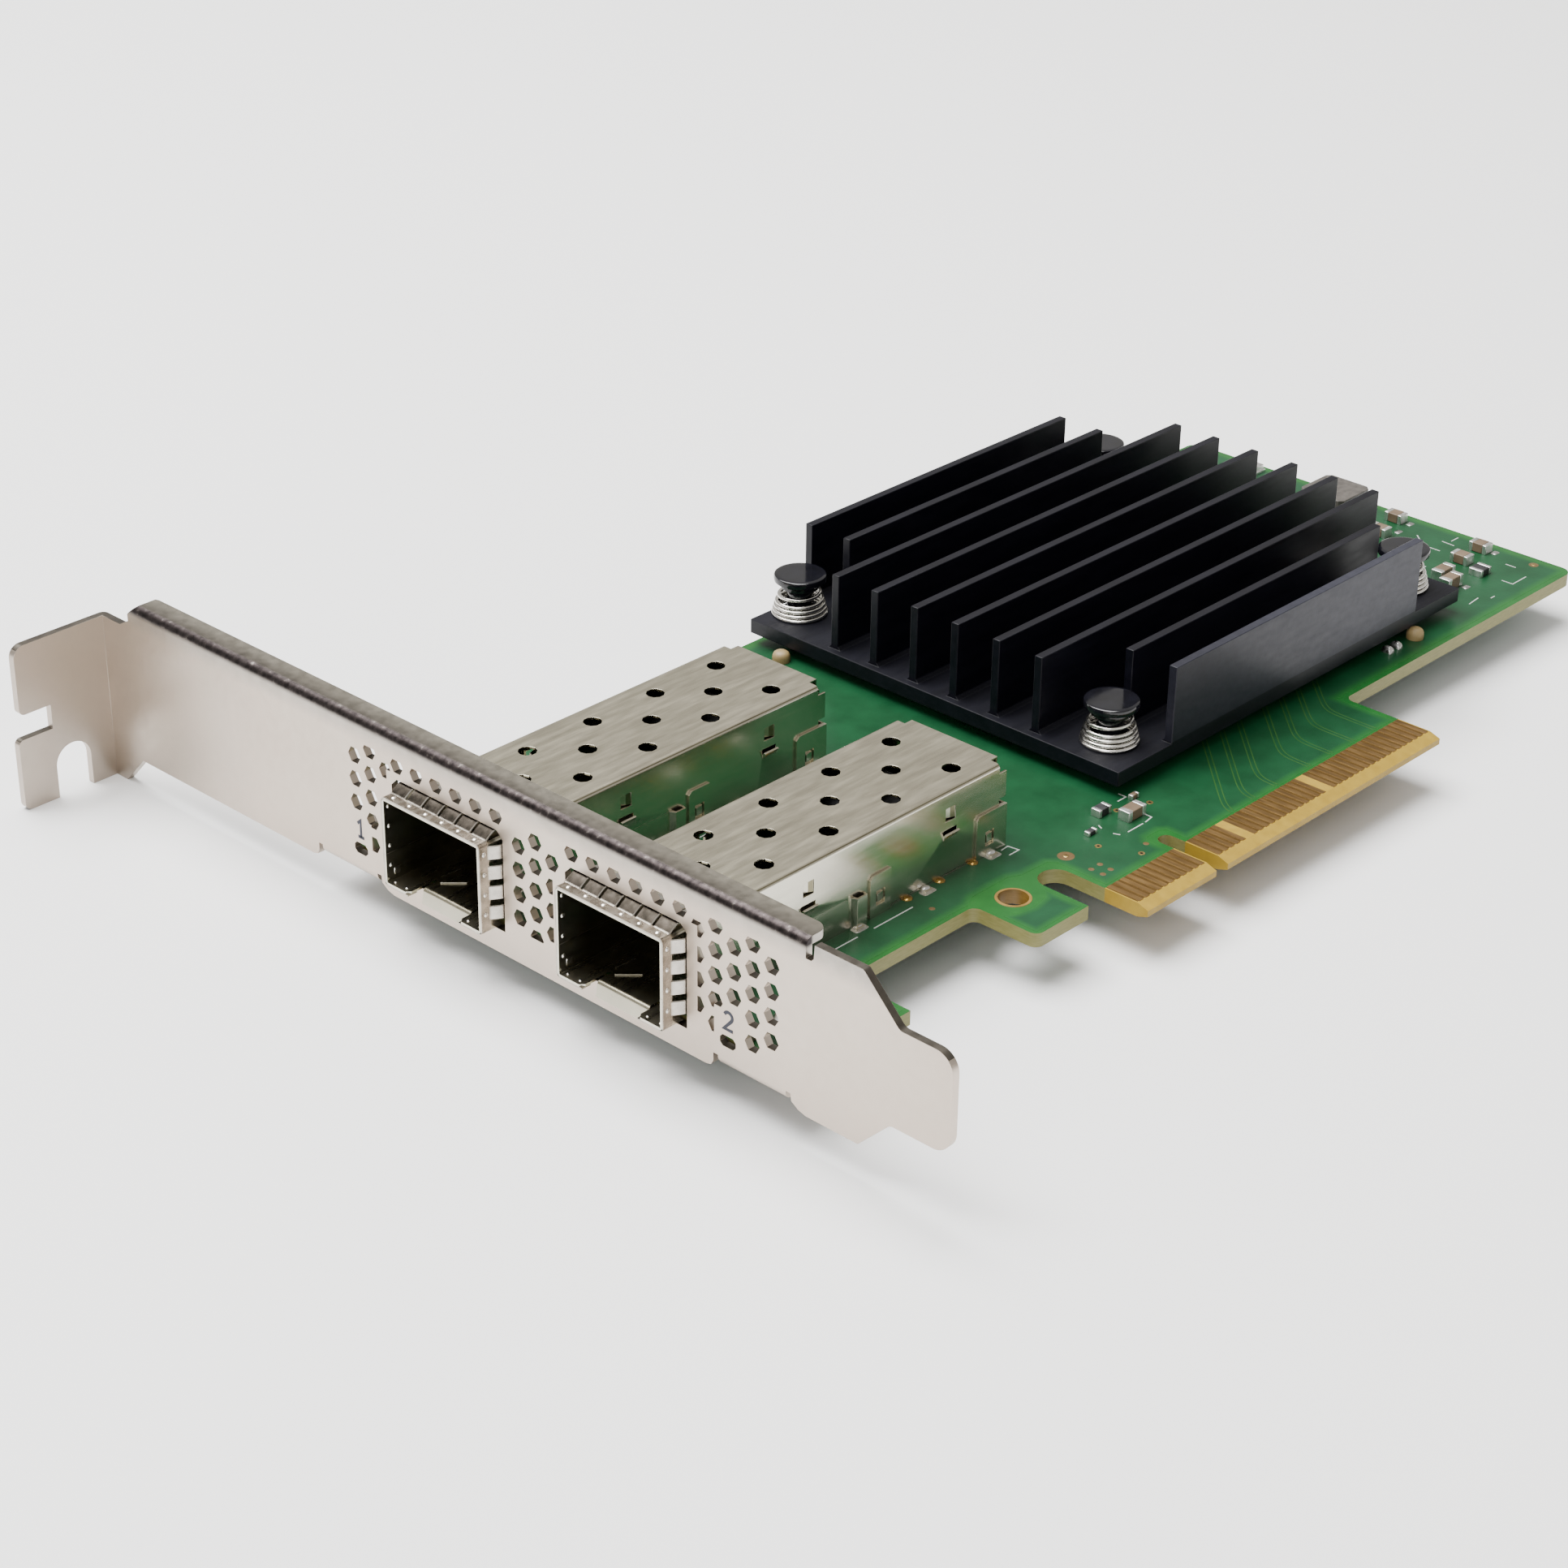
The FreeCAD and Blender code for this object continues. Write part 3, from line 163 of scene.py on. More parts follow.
def spread(tree, value, least, most, start=0.3, end=0.7):
    """Value rescaled from start..end, the middle of a noise, to least..most, and held there."""
    node = tree.nodes.new("ShaderNodeMapRange")
    for name, number in (("From Min", start), ("From Max", end), ("To Min", least), ("To Max", most)):
        node.inputs[name].default_value = number
    tree.links.new(value, node.inputs["Value"])
    return node.outputs["Result"]


def relief(tree, shader, value, depth, strength=0.5):
    """Bump of a value, depth in metres, into the shader's normal."""
    bump = tree.nodes.new("ShaderNodeBump")
    bump.inputs["Distance"].default_value = depth
    bump.inputs["Strength"].default_value = strength
    tree.links.new(value, bump.inputs["Height"])
    tree.links.new(bump.outputs["Normal"], shader.inputs["Normal"])


def blended(tree, factor, first, second):
    """Mix of two colour outputs by a factor output."""
    node = tree.nodes.new("ShaderNodeMix")
    node.data_type = "RGBA"
    tree.links.new(factor, node.inputs["Factor"])
    tree.links.new(first, node.inputs[6])
    tree.links.new(second, node.inputs[7])
    return node.outputs[2]


def masked_laminate(name):
    """Solder mask over laminate: green on the faces, pale on the cut edges, golden on the tongues."""
    material, tree, shader = shader_of(name, RIM_GREEN[0], *MASK_GLOSS)
    rim = two_tone(tree, grain(tree, 350, detail=4.0), *RIM_GREEN)
    deep = two_tone(tree, grain(tree, 260, detail=5.0), *DEEP_GREEN)
    cut = two_tone(tree, grain(tree, 900, (1, 1, 6)), *CUT_YELLOW)
    resin = two_tone(tree, grain(tree, 700), *RESIN_GOLD)
    x, y, z = place_of(tree)
    green = blended(tree, below(tree, z, SOLDER_SIDE_BELOW), rim, deep)
    edge = maths(tree, "LESS_THAN", leaning(tree, "Z"), 0.6)
    tongue = both(tree, below(tree, y, TONGUE_TOP), above(tree, x, TONGUE_FRONT))
    bare = maths(tree, "MAXIMUM", edge, tongue)
    surface = blended(tree, tongue, blended(tree, edge, green, cut), resin)
    tree.links.new(surface, shader.inputs["Base Color"])
    tree.links.new(spread(tree, bare, 0.27, 0.5, 0, 1), shader.inputs["Roughness"])
    relief(tree, shader, grain(tree, 2500), 0.00002, 0.3)
    return material


def dress(node, material):
    """Gives a CAD piece its material."""
    piece = nodes[node]
    piece.data.materials.clear()
    piece.data.materials.append(material)


def mesh_piece(name, grids, material, closed=False, sharp=30):
    """Surface through grids of points in millimetres, each an array of rings (n, k, 3): neighbouring
    rings are joined by quads. The first and last rings are capped, or joined where closed is set."""
    points, faces, start = [], [], 0
    for grid in grids:
        n, k, _ = grid.shape
        i, j = np.meshgrid(np.arange(n if closed else n - 1), np.arange(k), indexing="ij")
        i, j = i.ravel(), j.ravel()
        ring_on, point_on = (i + 1) % n, (j + 1) % k
        quads = np.stack([i * k + j, i * k + point_on, ring_on * k + point_on, ring_on * k + j], axis=1)
        faces += (quads + start).tolist()
        if not closed:
            faces.append((np.arange(k)[::-1] + start).tolist())
            faces.append((np.arange(k) + (n - 1) * k + start).tolist())
        points.append(grid.reshape(-1, 3))
        start += n * k
    mesh = bpy.data.meshes.new(name)
    mesh.from_pydata((np.vstack(points) * MM).tolist(), [], faces)
    mesh.shade_smooth()
    mesh.set_sharp_from_angle(angle=math.radians(sharp))
    mesh.materials.append(material)
    piece = bpy.data.objects.new(name, mesh)
    bpy.context.scene.collection.objects.link(piece)
    bm = bmesh.new()
    bm.from_mesh(mesh)
    bmesh.ops.recalc_face_normals(bm, faces=bm.faces)
    bm.to_mesh(mesh)
    bm.free()
    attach(piece, "root")
    return piece


def carried(path, profile, up=(0, 0, 1)):
    """Rings of a profile (side, rise) carried along a path: at each point the side direction is up
    crossed with the tangent, lengthened at corners by the mitre 1/cos(half the turn)."""
    path, up = np.asarray(path, float), np.asarray(up, float)
    step = np.diff(path, axis=0)
    step /= np.linalg.norm(step, axis=1, keepdims=True)
    before, after = np.vstack([step[:1], step]), np.vstack([step, step[-1:]])
    tangent = before + after
    tangent /= np.linalg.norm(tangent, axis=1, keepdims=True)
    mitre = 1 / np.maximum(np.sum(tangent * after, axis=1), 0.5)
    side = np.cross(up, tangent)
    side /= np.linalg.norm(side, axis=1, keepdims=True)
    rise = np.cross(tangent, side)
    profile = np.asarray(profile, float)
    return (path[:, None] + side[:, None] * profile[None, :, :1] * mitre[:, None, None]
            + rise[:, None] * profile[None, :, 1:])


def strip(width, thick):
    """Profile of a flat printed or etched strip."""
    half = width / 2
    return [(-half, 0), (half, 0), (half * 0.9, thick), (-half * 0.9, thick)]


def inset(outline, distance):
    """Closed outline (x, y), run anticlockwise, moved inwards along its mitred corners."""
    step = np.roll(outline, -1, axis=0) - outline
    step /= np.linalg.norm(step, axis=1, keepdims=True)
    inward = np.stack([-step[:, 1], step[:, 0]], axis=1)
    before = np.roll(inward, 1, axis=0)
    corner = (inward + before) / (1 + np.sum(inward * before, axis=1, keepdims=True))
    return outline + distance * corner


dress("circuit_board", masked_laminate("solder_mask"))

# Copper under the mask: pours that stop short of the routed edges, so that the rim stays bright. The
# green deepens over the pour's outer millimetre, where the mask is drawn thin.
POUR_STEPS = np.array([0.0, 0.0, 0.25, 0.5, 0.75, 1.0])
POUR_RISES = 0.03 * np.array([0.0, 0.4, 0.6, 0.8, 0.9, 1.0])
pour_green, tree, shader = shader_of("mask_over_copper", DEEP_GREEN[0], *MASK_GLOSS)
deep = two_tone(tree, grain(tree, 260, detail=5.0), *DEEP_GREEN)
rim = two_tone(tree, grain(tree, 350, detail=4.0), *RIM_GREEN)
depth = tree.nodes.new("ShaderNodeAttribute")
depth.attribute_name = "depth"
tree.links.new(blended(tree, depth.outputs["Fac"], rim, deep), shader.inputs["Base Color"])
relief(tree, shader, grain(tree, 1500), 0.00003, 0.35)
main_pour = [(-57.3, 68.3), (-57.3, 4.8), (-43.2, 4.8), (-43.2, 12.95), (-24.2, 12.95), (-22.6, 13.7),
             (-17.3, 13.7), (-15.9, 13.0), (-12.2, 12.8), (-11.5, 12.0), (-11.5, 5.7), (-1.6, 5.7),
             (-1.6, 8.3), (-1.0, 8.8), (1.0, 8.8), (1.6, 8.3), (1.6, 5.7), (38.5, 5.7), (38.5, 13.1),
             (BOARD_BACK - 1.2, 13.1), (BOARD_BACK - 0.6, 13.7),
             (BOARD_BACK - 0.6, BOARD_TOP_EDGE - 1.2), (BOARD_BACK - 1.2, BOARD_TOP_EDGE - 0.6)]
stub_pour = [(-23.4, 9.0), (-23.4, 4.9), (-16.6, 4.9), (-16.6, 9.4), (-17.8, 8.4), (-19.95, 8.0),
             (-22.1, 8.4)]
for number, (outline, fade) in enumerate(((main_pour, 1.0), (stub_pour, 0.75))):
    edge = np.asarray(outline)
    rings = [np.column_stack([inset(edge, step), np.full(len(edge), rise)])
             for step, rise in zip(POUR_STEPS * fade, POUR_RISES)]
    pour = mesh_piece(f"copper_pour_{number + 1}", [np.stack(rings)], pour_green)
    shade = pour.data.attributes.new("depth", "FLOAT", "POINT")
    shade.data.foreach_set("value", np.repeat(POUR_STEPS, len(edge)).astype(np.float32))


def mottled(name, first, second, scale, roughness, metallic=0.0, specular=0.5, stretch=(1, 1, 1)):
    """New material whose colour wanders between two tones, with features about 1/scale metres wide.
    Its roughness is one number, or (least, most, scale) where it wanders as well."""
    wanders = isinstance(roughness, tuple)
    material, tree, shader = shader_of(name, first, metallic, roughness[0] if wanders else roughness,
                                       specular)
    colour = two_tone(tree, grain(tree, scale, stretch), first, second)
    tree.links.new(colour, shader.inputs["Base Color"])
    if wanders:
        least, most, fineness = roughness
        tree.links.new(spread(tree, grain(tree, fineness), least, most), shader.inputs["Roughness"])
    return material


# Traces: one pair for each lane, straight up from its contacts and then away at an angle. The bend
# is ln(1 + e^t), which turns smoothly from a level run into a slope. Each lane bends a little higher
# than the one before, and a pair keeps its distance through the bend.
LANES = (9.0, 13.0, 17.0, 23.0, 27.0, 31.0, 35.0)
TRACE_FOOT, TRACE_TOP = 5.9, 17.5
TRACE_WIDTH, PAIR_HALF = 0.13, 0.25
FIRST_BEND, BEND_STAGGER, BEND_SIZE = 6.6, 0.22, 0.6
trace_green = mottled("mask_over_traces", (0.02, 0.075, 0.014), (0.03, 0.09, 0.02), 500, 0.33,
                      0.0, 0.35)
traces = []
run = np.linspace(TRACE_FOOT, TRACE_TOP, 24)
for lane in LANES:
    bend_at = FIRST_BEND + BEND_STAGGER * (lane - LANES[0])
    for offset in (-PAIR_HALF, PAIR_HALF):
        bent = 0.3 + BEND_SIZE * np.log1p(np.exp((run - bend_at + 0.41 * offset) / BEND_SIZE))
        path = np.column_stack([lane + offset + bent, run, np.full(len(run), 0.02)])
        traces.append(carried(path, strip(TRACE_WIDTH, 0.022)))
mesh_piece("traces", traces, trace_green)

# === Plated holes, vias and pads ==================================================================
# Drilled holes plated through with copper and gold. Each shows as a thin bright ring round a black
# disc of painted shade standing in for the hole; small vias by the edge connector are tented, and the
# mounting hole has a bare resin wall.
MOUNTING_HOLE = (-19.95, 10.7, 0.0)
TEST_POINTS = ((-9.9, 12.2), (84.5, 16.7))
LAND_RADII = (0.9, 0.6)
HOLE_R, PLATING_R, TENTED_R = 0.17, 0.36, 0.32
pad_gold = mottled("pad_gold", (0.36, 0.24, 0.08), (0.55, 0.4, 0.16), 1800, 0.35, 1.0)
painted_hole_shade = mottled("hole_shadow", (0.004, 0.004, 0.003), (0.008, 0.008, 0.006), 2000,
                     (0.7, 0.9, 2000), 0.0, 0.1)
copper_dot = mottled("masked_copper", (0.085, 0.05, 0.018), (0.12, 0.068, 0.024), 1500, 0.35)
bore_resin = mottled("bore_resin", (0.15, 0.085, 0.012), (0.24, 0.14, 0.03), 900, 0.4,
                     stretch=(1, 1, 4))


def turned(profile, centre, sides=48):
    """Rings of a (radius, height) profile turned about the upright through a centre (x, y, z)."""
    profile = np.asarray(profile, float)
    around = np.linspace(0, 2 * np.pi, sides, endpoint=False)
    radius, height = profile[:, :1], profile[:, 1:]
    grid = np.stack([radius * np.cos(around), radius * np.sin(around), height + 0 * around], axis=-1)
    return grid + np.asarray(centre, float)


def ring(x, y, inner, outer):
    """Flat annulus, 0.05 high, standing on the board: a closed profile for mesh_piece."""
    profile = [(inner, 0.0), (inner, 0.05), (outer, 0.05), (outer + 0.03, 0.0)]
    return turned(profile, (x, y, 0.0), 28)


def dot(x, y, radius, rise=0.045):
    """Low round button on the board."""
    return turned([(radius, 0.0), (radius, rise * 0.7), (radius * 0.8, rise)], (x, y, 0.0), 18)


open_vias = [(-6.0, 11.15), (-4.1, 7.1), (1.25, 14.5), (3.5, 13.1), (5.0, 13.1)]
tented_vias = [(-10.2, 8.7), (-8.8, 8.7), (-8.85, 7.3), (-10.15, 7.25), (-2.2, 8.0), (-27.2, 15.0)]
plated = [ring(x, y, HOLE_R - 0.01, PLATING_R) for x, y in open_vias]
mesh_piece("plated_rings", plated, pad_gold, closed=True)
# Painted shade: a black disc on the board stands in for the hole of each open via.
mesh_piece("painted_via_hole_shade", [dot(x, y, HOLE_R) for x, y in open_vias], painted_hole_shade)
tented = [dot(x, y, TENTED_R) for x, y in tented_vias]
test_lands = [dot(x, y, radius) for (x, y), radius in zip(TEST_POINTS, LAND_RADII)]
mesh_piece("tented_vias", tented + test_lands, copper_dot)
mesh_piece("test_points", [dot(x, y, 0.3, 0.09) for x, y in TEST_POINTS], pad_gold)
bore_profile = [(1.57, -1.6), (1.57, 0.04), (1.85, 0.04), (1.88, 0.0), (1.62, 0.0), (1.62, -1.57),
                (1.88, -1.57), (1.85, -1.6)]
bore_wall = turned(bore_profile, MOUNTING_HOLE, 56)
mesh_piece("mounting_eyelet", [bore_wall], bore_resin, closed=True)

# === Silkscreen ===================================================================================
# White epoxy ink printed through a stencil: plain outlines of the parts, with no lettering. Each cage
# has the same few marks beside it, one port pitch apart. PORTS holds the middles of the two bays.
PORTS = [np.mean(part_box(f"cage_cover_{number}"), axis=0)[1] / MM for number in (1, 2)]
PORT_PITCH = round(PORTS[0] - PORTS[1], 3)
INK_WIDTH, INK_FOOT = 0.16, 0.035
ink_white = mottled("screen_ink", (0.3, 0.32, 0.3), (0.42, 0.43, 0.41), 3000, 0.6)
cage_marks = [[(-44.5, 16.6), (-36.3, 16.6)], [(-34.0, 16.55), (-28.3, 16.55)],
              [(-13.6, 17.6), (-12.45, 17.7), (-12.25, 16.4), (-13.8, 16.4)]]
marks_by_key = [[(-1.6, 10.8), (0.9, 10.8)], [(1.3, 10.8), (2.6, 11.0), (2.65, 12.1)],
                [(-2.6, 11.0), (-2.9, 11.7)], [(-2.9, 13.2), (-2.6, 13.8)],
                [(2.8, 15.6), (4.2, 15.6), (4.2, 16.6)]]
rear_marks = [[(82.0, 31.6), (80.0, 29.4), (80.0, 27.0)], [(82.6, 28.4), (82.5, 26.6)],
              [(75.0, 25.7), (73.8, 25.7)], [(82.3, 19.2), (82.3, 17.8)],
              [(80.9, 15.5), (78.0, 15.5), (78.0, 17.0)], [(73.6, 15.2), (72.8, 15.2)],
              [(71.8, 16.3), (69.6, 16.1)], [(84.9, 27.6), (83.4, 27.6)], [(84.6, 39.6), (79.0, 39.6)]]
next_marks = [[(x, y + PORT_PITCH) for x, y in line] for line in cage_marks]
ink = [carried([(x, y, INK_FOOT) for x, y in line], strip(INK_WIDTH, 0.02))
       for line in cage_marks + next_marks + marks_by_key + rear_marks]
mesh_piece("silkscreen", ink, ink_white)

# === Edge contacts ================================================================================
# Copper pads plated with nickel and hard gold, slid into the socket's springs. They look brown
# against the golden laminate of the tongues. Two places for unused signals are left without a pad.
PITCH = 1.0
FIRST_PAD = 1.5                        # from the key's middle, to either side
FRONT_COUNT, REAR_COUNT = 11, 38
UNUSED = (5, 19)
PAD_LOW, PAD_WIDTH, PAD_THICK = 1.35, 0.64, 0.05
GAP_RUNS = ((-12.0, -1.1), (1.1, 5.5), (7.5, 19.5), (21.5, 39.0))      # clear of the unused places
contact_gold, tree, shader = shader_of("hard_gold", (0.36, 0.22, 0.08), 1.0, 0.34)
tree.links.new(two_tone(tree, grain(tree, 1200, (1, 0.2, 1)), (0.29, 0.17, 0.064), (0.39, 0.24, 0.095)),
               shader.inputs["Base Color"])
tree.links.new(spread(tree, grain(tree, 2200, (1, 0.15, 1)), 0.28, 0.42), shader.inputs["Roughness"])
# Painted shade: dark strips on the laminate in the narrow gaps between the pads, left out at the unused
# places.
painted_gap_shade = mottled("painted_shade_between_pads", (0.05, 0.026, 0.004), (0.07, 0.038, 0.007), 1500, 0.6,
                    0.0, 0.1)
front_pads = [-FIRST_PAD - i * PITCH for i in range(FRONT_COUNT)]
rear_pads = [FIRST_PAD + i * PITCH for i in range(REAR_COUNT) if i not in UNUSED]
pads, floors = [], []
for face, out in zip(BOARD_FACES, (1.0, -1.0)):
    rounded = strip(PAD_WIDTH, PAD_THICK * out)
    pads += [carried([(x, PAD_LOW, face), (x, PAD_LOW + 0.12, face), (x, TONGUE_TOP, face)], rounded)
             for x in front_pads + rear_pads]
    for start, end in GAP_RUNS:
        middle, width = (start + end) / 2, end - start
        floors.append(carried([(middle, PAD_LOW + 0.1, face), (middle, TONGUE_TOP, face)],
                              strip(width, 0.012 * out)))
contacts = mesh_piece("edge_contacts", pads, contact_gold)
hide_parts("edge_contacts_top", "edge_contacts_bottom")
mesh_piece("painted_shade_between_contacts", floors, painted_gap_shade)

# === Bracket ======================================================================================
# Steel sheet 0.86 thick, blanked with its vents and openings, folded and then nickel plated all
# over. The plating is smooth on the flat face, and burnt and mottled along the long fold. Shade is
# painted on the face just below the fold and over the flange's upward faces.
FACE_X = -59.05                        # outer face of the sheet
FOLD_X, FOLD_HALF, FOLD_Z = FACE_X + 0.39, 0.45, 14.4      # middle, half width and foot of the bend
FLANGE_START = 2.4
TAB_FADE = (78.0, 100.0)               # the plating dulls from here to the screw tab painted shade darkens the face from here up to the bend
FOLD_SHADE = (12.8, 14.9)               # and from here up to the bend


def across(tree, value, start, end):
    """Rises from 0 to 1 as a coordinate goes from start to end, which are in millimetres."""
    return spread(tree, value, 0.0, 1.0, start * MM, end * MM)


def apart(tree, value, middle):
    """Distance of a coordinate from a middle, which is in millimetres."""
    return maths(tree, "ABSOLUTE", maths(tree, "SUBTRACT", value, middle * MM))


nickel, tree, shader = shader_of("satin_nickel", (0.5, 0.47, 0.44), 1.0, 0.36)
x, y, z = place_of(tree)
open_face = two_tone(tree, grain(tree, 45, detail=2.0), (0.52, 0.44, 0.37), (0.59, 0.51, 0.435))
tab_face = two_tone(tree, grain(tree, 60, detail=2.0), (0.4, 0.345, 0.29), (0.46, 0.4, 0.345))
face_nickel = blended(tree, across(tree, y, *TAB_FADE), open_face, tab_face)
# Painted shade: the face turns to a duller grey just below the fold, where the sheet turns.
painted_fold_shade = two_tone(tree, grain(tree, 500), (0.3, 0.28, 0.25), (0.4, 0.37, 0.33))
near_fold = blended(tree, across(tree, z, *FOLD_SHADE), face_nickel, painted_fold_shade)
# Painted shade: the flange's upward faces are much darker than the face, and darkest towards the fold.
shaded_flange = two_tone(tree, grain(tree, 300, (1, 0.3, 1)), (0.25, 0.227, 0.185), (0.3, 0.277, 0.23))
darker_by_fold = two_tone(tree, grain(tree, 700), (0.09, 0.079, 0.066), (0.14, 0.125, 0.105))
shaded_flange_top = blended(tree, across(tree, x, FACE_X + 2.55, FACE_X + 0.75), shaded_flange, darker_by_fold)
burnt = ramp(tree, grain(tree, 1500, detail=5.0),
             [(0.34, (0.022, 0.018, 0.018)), (0.62, (0.055, 0.045, 0.044)), (0.8, (0.2, 0.18, 0.165))])
level = maths(tree, "GREATER_THAN", leaning(tree, "Z"), 0.7)
in_depth = across(tree, apart(tree, x, FOLD_X), FOLD_HALF + 0.15, FOLD_HALF - 0.15)
at_height = across(tree, z, FOLD_Z, FOLD_Z + 0.4)
on_bend = both(tree, both(tree, in_depth, above(tree, y, FLANGE_START)), at_height)
plain = blended(tree, level, near_fold, shaded_flange_top)
tree.links.new(blended(tree, on_bend, plain, burnt), shader.inputs["Base Color"])
tree.links.new(spread(tree, grain(tree, 900), 0.32, 0.42), shader.inputs["Roughness"])
relief(tree, shader, grain(tree, 3500, detail=2.0), 0.00001, 0.25)


def eased(node, width, material, angle=35):
    """Copy of a CAD piece with its loose triangles merged and every sharp edge given a small round,
    as a blanked, moulded or extruded edge has."""
    source = nodes[node]
    mesh = source.data.copy()
    bm = bmesh.new()
    bm.from_mesh(mesh)
    bmesh.ops.remove_doubles(bm, verts=bm.verts, dist=0.000002)
    bmesh.ops.dissolve_limit(bm, angle_limit=math.radians(0.8), verts=bm.verts, edges=bm.edges)
    bmesh.ops.recalc_face_normals(bm, faces=bm.faces)
    bm.to_mesh(mesh)
    bm.free()
    if "custom_normal" in mesh.attributes:
        mesh.attributes.remove(mesh.attributes["custom_normal"])
    mesh.materials.clear()
    mesh.materials.append(material)
    mesh.shade_smooth()
    mesh.set_sharp_from_angle(angle=math.radians(angle))
    piece = bpy.data.objects.new(node + "_finished", mesh)
    bpy.context.scene.collection.objects.link(piece)
    bevel = piece.modifiers.new("edges", "BEVEL")
    bevel.width = width * MM
    bevel.segments = 2
    bevel.limit_method = "ANGLE"
    bevel.angle_limit = math.radians(angle)
    bevel.use_clamp_overlap = True
    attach(piece, "root")
    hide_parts(node)
    return piece


eased("bracket", 0.09, nickel)

# Port numerals, painted on the face beside the ports. The 2 has an arc of radius 0.5 for its head.
paint_blue = mottled("numeral_paint", (0.003, 0.004, 0.014), (0.006, 0.008, 0.026), 3000, 0.5)
PAINT_X = FACE_X - 0.012
STROKE_WIDTH = 0.36
NUMERAL_FOOT, HEAD_Y, HEAD_Z = 1.95, 11.88, 3.32
numeral_1 = [[(63.52, 3.42), (63.06, 3.84), (63.06, NUMERAL_FOOT)],
             [(63.5, NUMERAL_FOOT), (62.62, NUMERAL_FOOT)]]
sweep = np.linspace(math.radians(160), math.radians(-35), 12)
arc = [(HEAD_Y - 0.5 * math.cos(a), HEAD_Z + 0.5 * math.sin(a)) for a in sweep]
numeral_2 = [arc + [(12.42, NUMERAL_FOOT), (11.3, NUMERAL_FOOT)]]
strokes = [carried([(PAINT_X, y, z) for y, z in stroke], strip(STROKE_WIDTH, 0.015), (-1, 0, 0))
           for stroke in numeral_1 + numeral_2]
mesh_piece("port_numerals", strokes, paint_blue)

# === Bracket screws ===============================================================================
# Pan-head machine screws of bright plated steel, driven from the component side into the lugs.
screw_steel = mottled("plated_screw", (0.54, 0.53, 0.5), (0.66, 0.65, 0.62), 700,
                      (0.2, 0.38, 1500), 1.0)
eased("bracket_screws", 0.12, screw_steel, angle=25)

# === SFP cages ====================================================================================
# Tin-plated sheet 0.25 thick, stamped and folded. A cover (top and sides) drops over a base (floor
# and low walls). The top keeps its brushed rolling grain and is painted a little darker than the sides
# as shade, the sides are smoother, and the bay's inner faces are painted dark as shade.
SIDES = (-1, 1)
BAY_HALF, BAY_TOP = 6.9, 9.6           # within the sheet's thickness: only its inner faces get the painted shade
BAY_FADE = (-61.2, -57.5)              # the painted shade deepens from the mouth to here
FLAP_Z, FLAP_HALF = 7.0, 1.1           # bright flap cut from each wall, left out of the painted shade, and how far in it lies
FLAP_IN, FLAP_REACH = 6.2, 0.5
tin, tree, shader = shader_of("tinned_sheet", (0.6, 0.57, 0.48), 1.0, 0.3)
x, y, z = place_of(tree)
brushed = grain(tree, 1500, (0.15, 1, 1), 4.0)
level = spread(tree, leaning(tree, "Z"), 0.0, 1.0, 0.1, 0.95)
# Painted shade: the upward faces take a slightly darker, more olive copy of the tin than the sides.
shaded_top_tin = two_tone(tree, grain(tree, 140, (0.4, 1, 1), 4.0), (0.5, 0.46, 0.355), (0.55, 0.51, 0.395))
side_tin = two_tone(tree, grain(tree, 90, detail=2.0), (0.54, 0.52, 0.43), (0.62, 0.59, 0.5))
from_port = apart(tree, apart(tree, y, sum(PORTS) / 2), PORT_PITCH / 2)
enclosed = both(tree, below(tree, from_port, BAY_HALF), below(tree, z, BAY_TOP))
flap = both(tree, below(tree, apart(tree, z, FLAP_Z), FLAP_HALF),
            below(tree, apart(tree, from_port, FLAP_IN), FLAP_REACH))
not_flap = spread(tree, flap, 1.0, 0.0, 0.0, 1.0)
bay = both(tree, both(tree, enclosed, not_flap), across(tree, x, *BAY_FADE))
# Painted shade: the bay's inner faces take a dark copy of the tin, deepening from the mouth inwards.
bay_shade_tin = two_tone(tree, grain(tree, 200), (0.15, 0.135, 0.085), (0.28, 0.255, 0.17))
outside_tin = blended(tree, level, side_tin, shaded_top_tin)
tree.links.new(blended(tree, bay, outside_tin, bay_shade_tin), shader.inputs["Base Color"])
rough = spread(tree, brushed, 0.24, 0.36)
smooth = spread(tree, brushed, 0.2, 0.27)
by_side = tree.nodes.new("ShaderNodeMix")
for value, socket in zip((level, smooth, rough), (0, 2, 3)):
    tree.links.new(value, by_side.inputs[socket])
tree.links.new(by_side.outputs[0], shader.inputs["Roughness"])
relief(tree, shader, brushed, 0.000008, 0.3)
for number in (1, 2):
    eased(f"cage_cover_{number}", 0.06, tin)
    eased(f"cage_base_{number}", 0.04, tin)


def mound(centre, half, rise, axes=((1, 0, 0), (0, 1, 0), (0, 0, 1)), square=2.0):
    """Rings of a smooth lump: a superellipse foot, half its size each way, that shrinks by cos t and
    rises by sin t as t goes to a quarter turn, laid along three axes: two of the foot, one outwards."""
    around = np.linspace(0, 2 * np.pi, 20, endpoint=False)
    circle = np.stack([np.cos(around), np.sin(around)], axis=1)
    foot = np.asarray(half) * np.sign(circle) * np.abs(circle) ** (2 / square)
    t = np.linspace(0, 0.48 * np.pi, 5)[:, None, None]
    flat = np.cos(t) * foot[None]
    up = np.broadcast_to(rise * np.sin(t), flat[..., :1].shape)
    return np.asarray(centre, float) + np.concatenate([flat, up], axis=-1) @ np.asarray(axes, float)


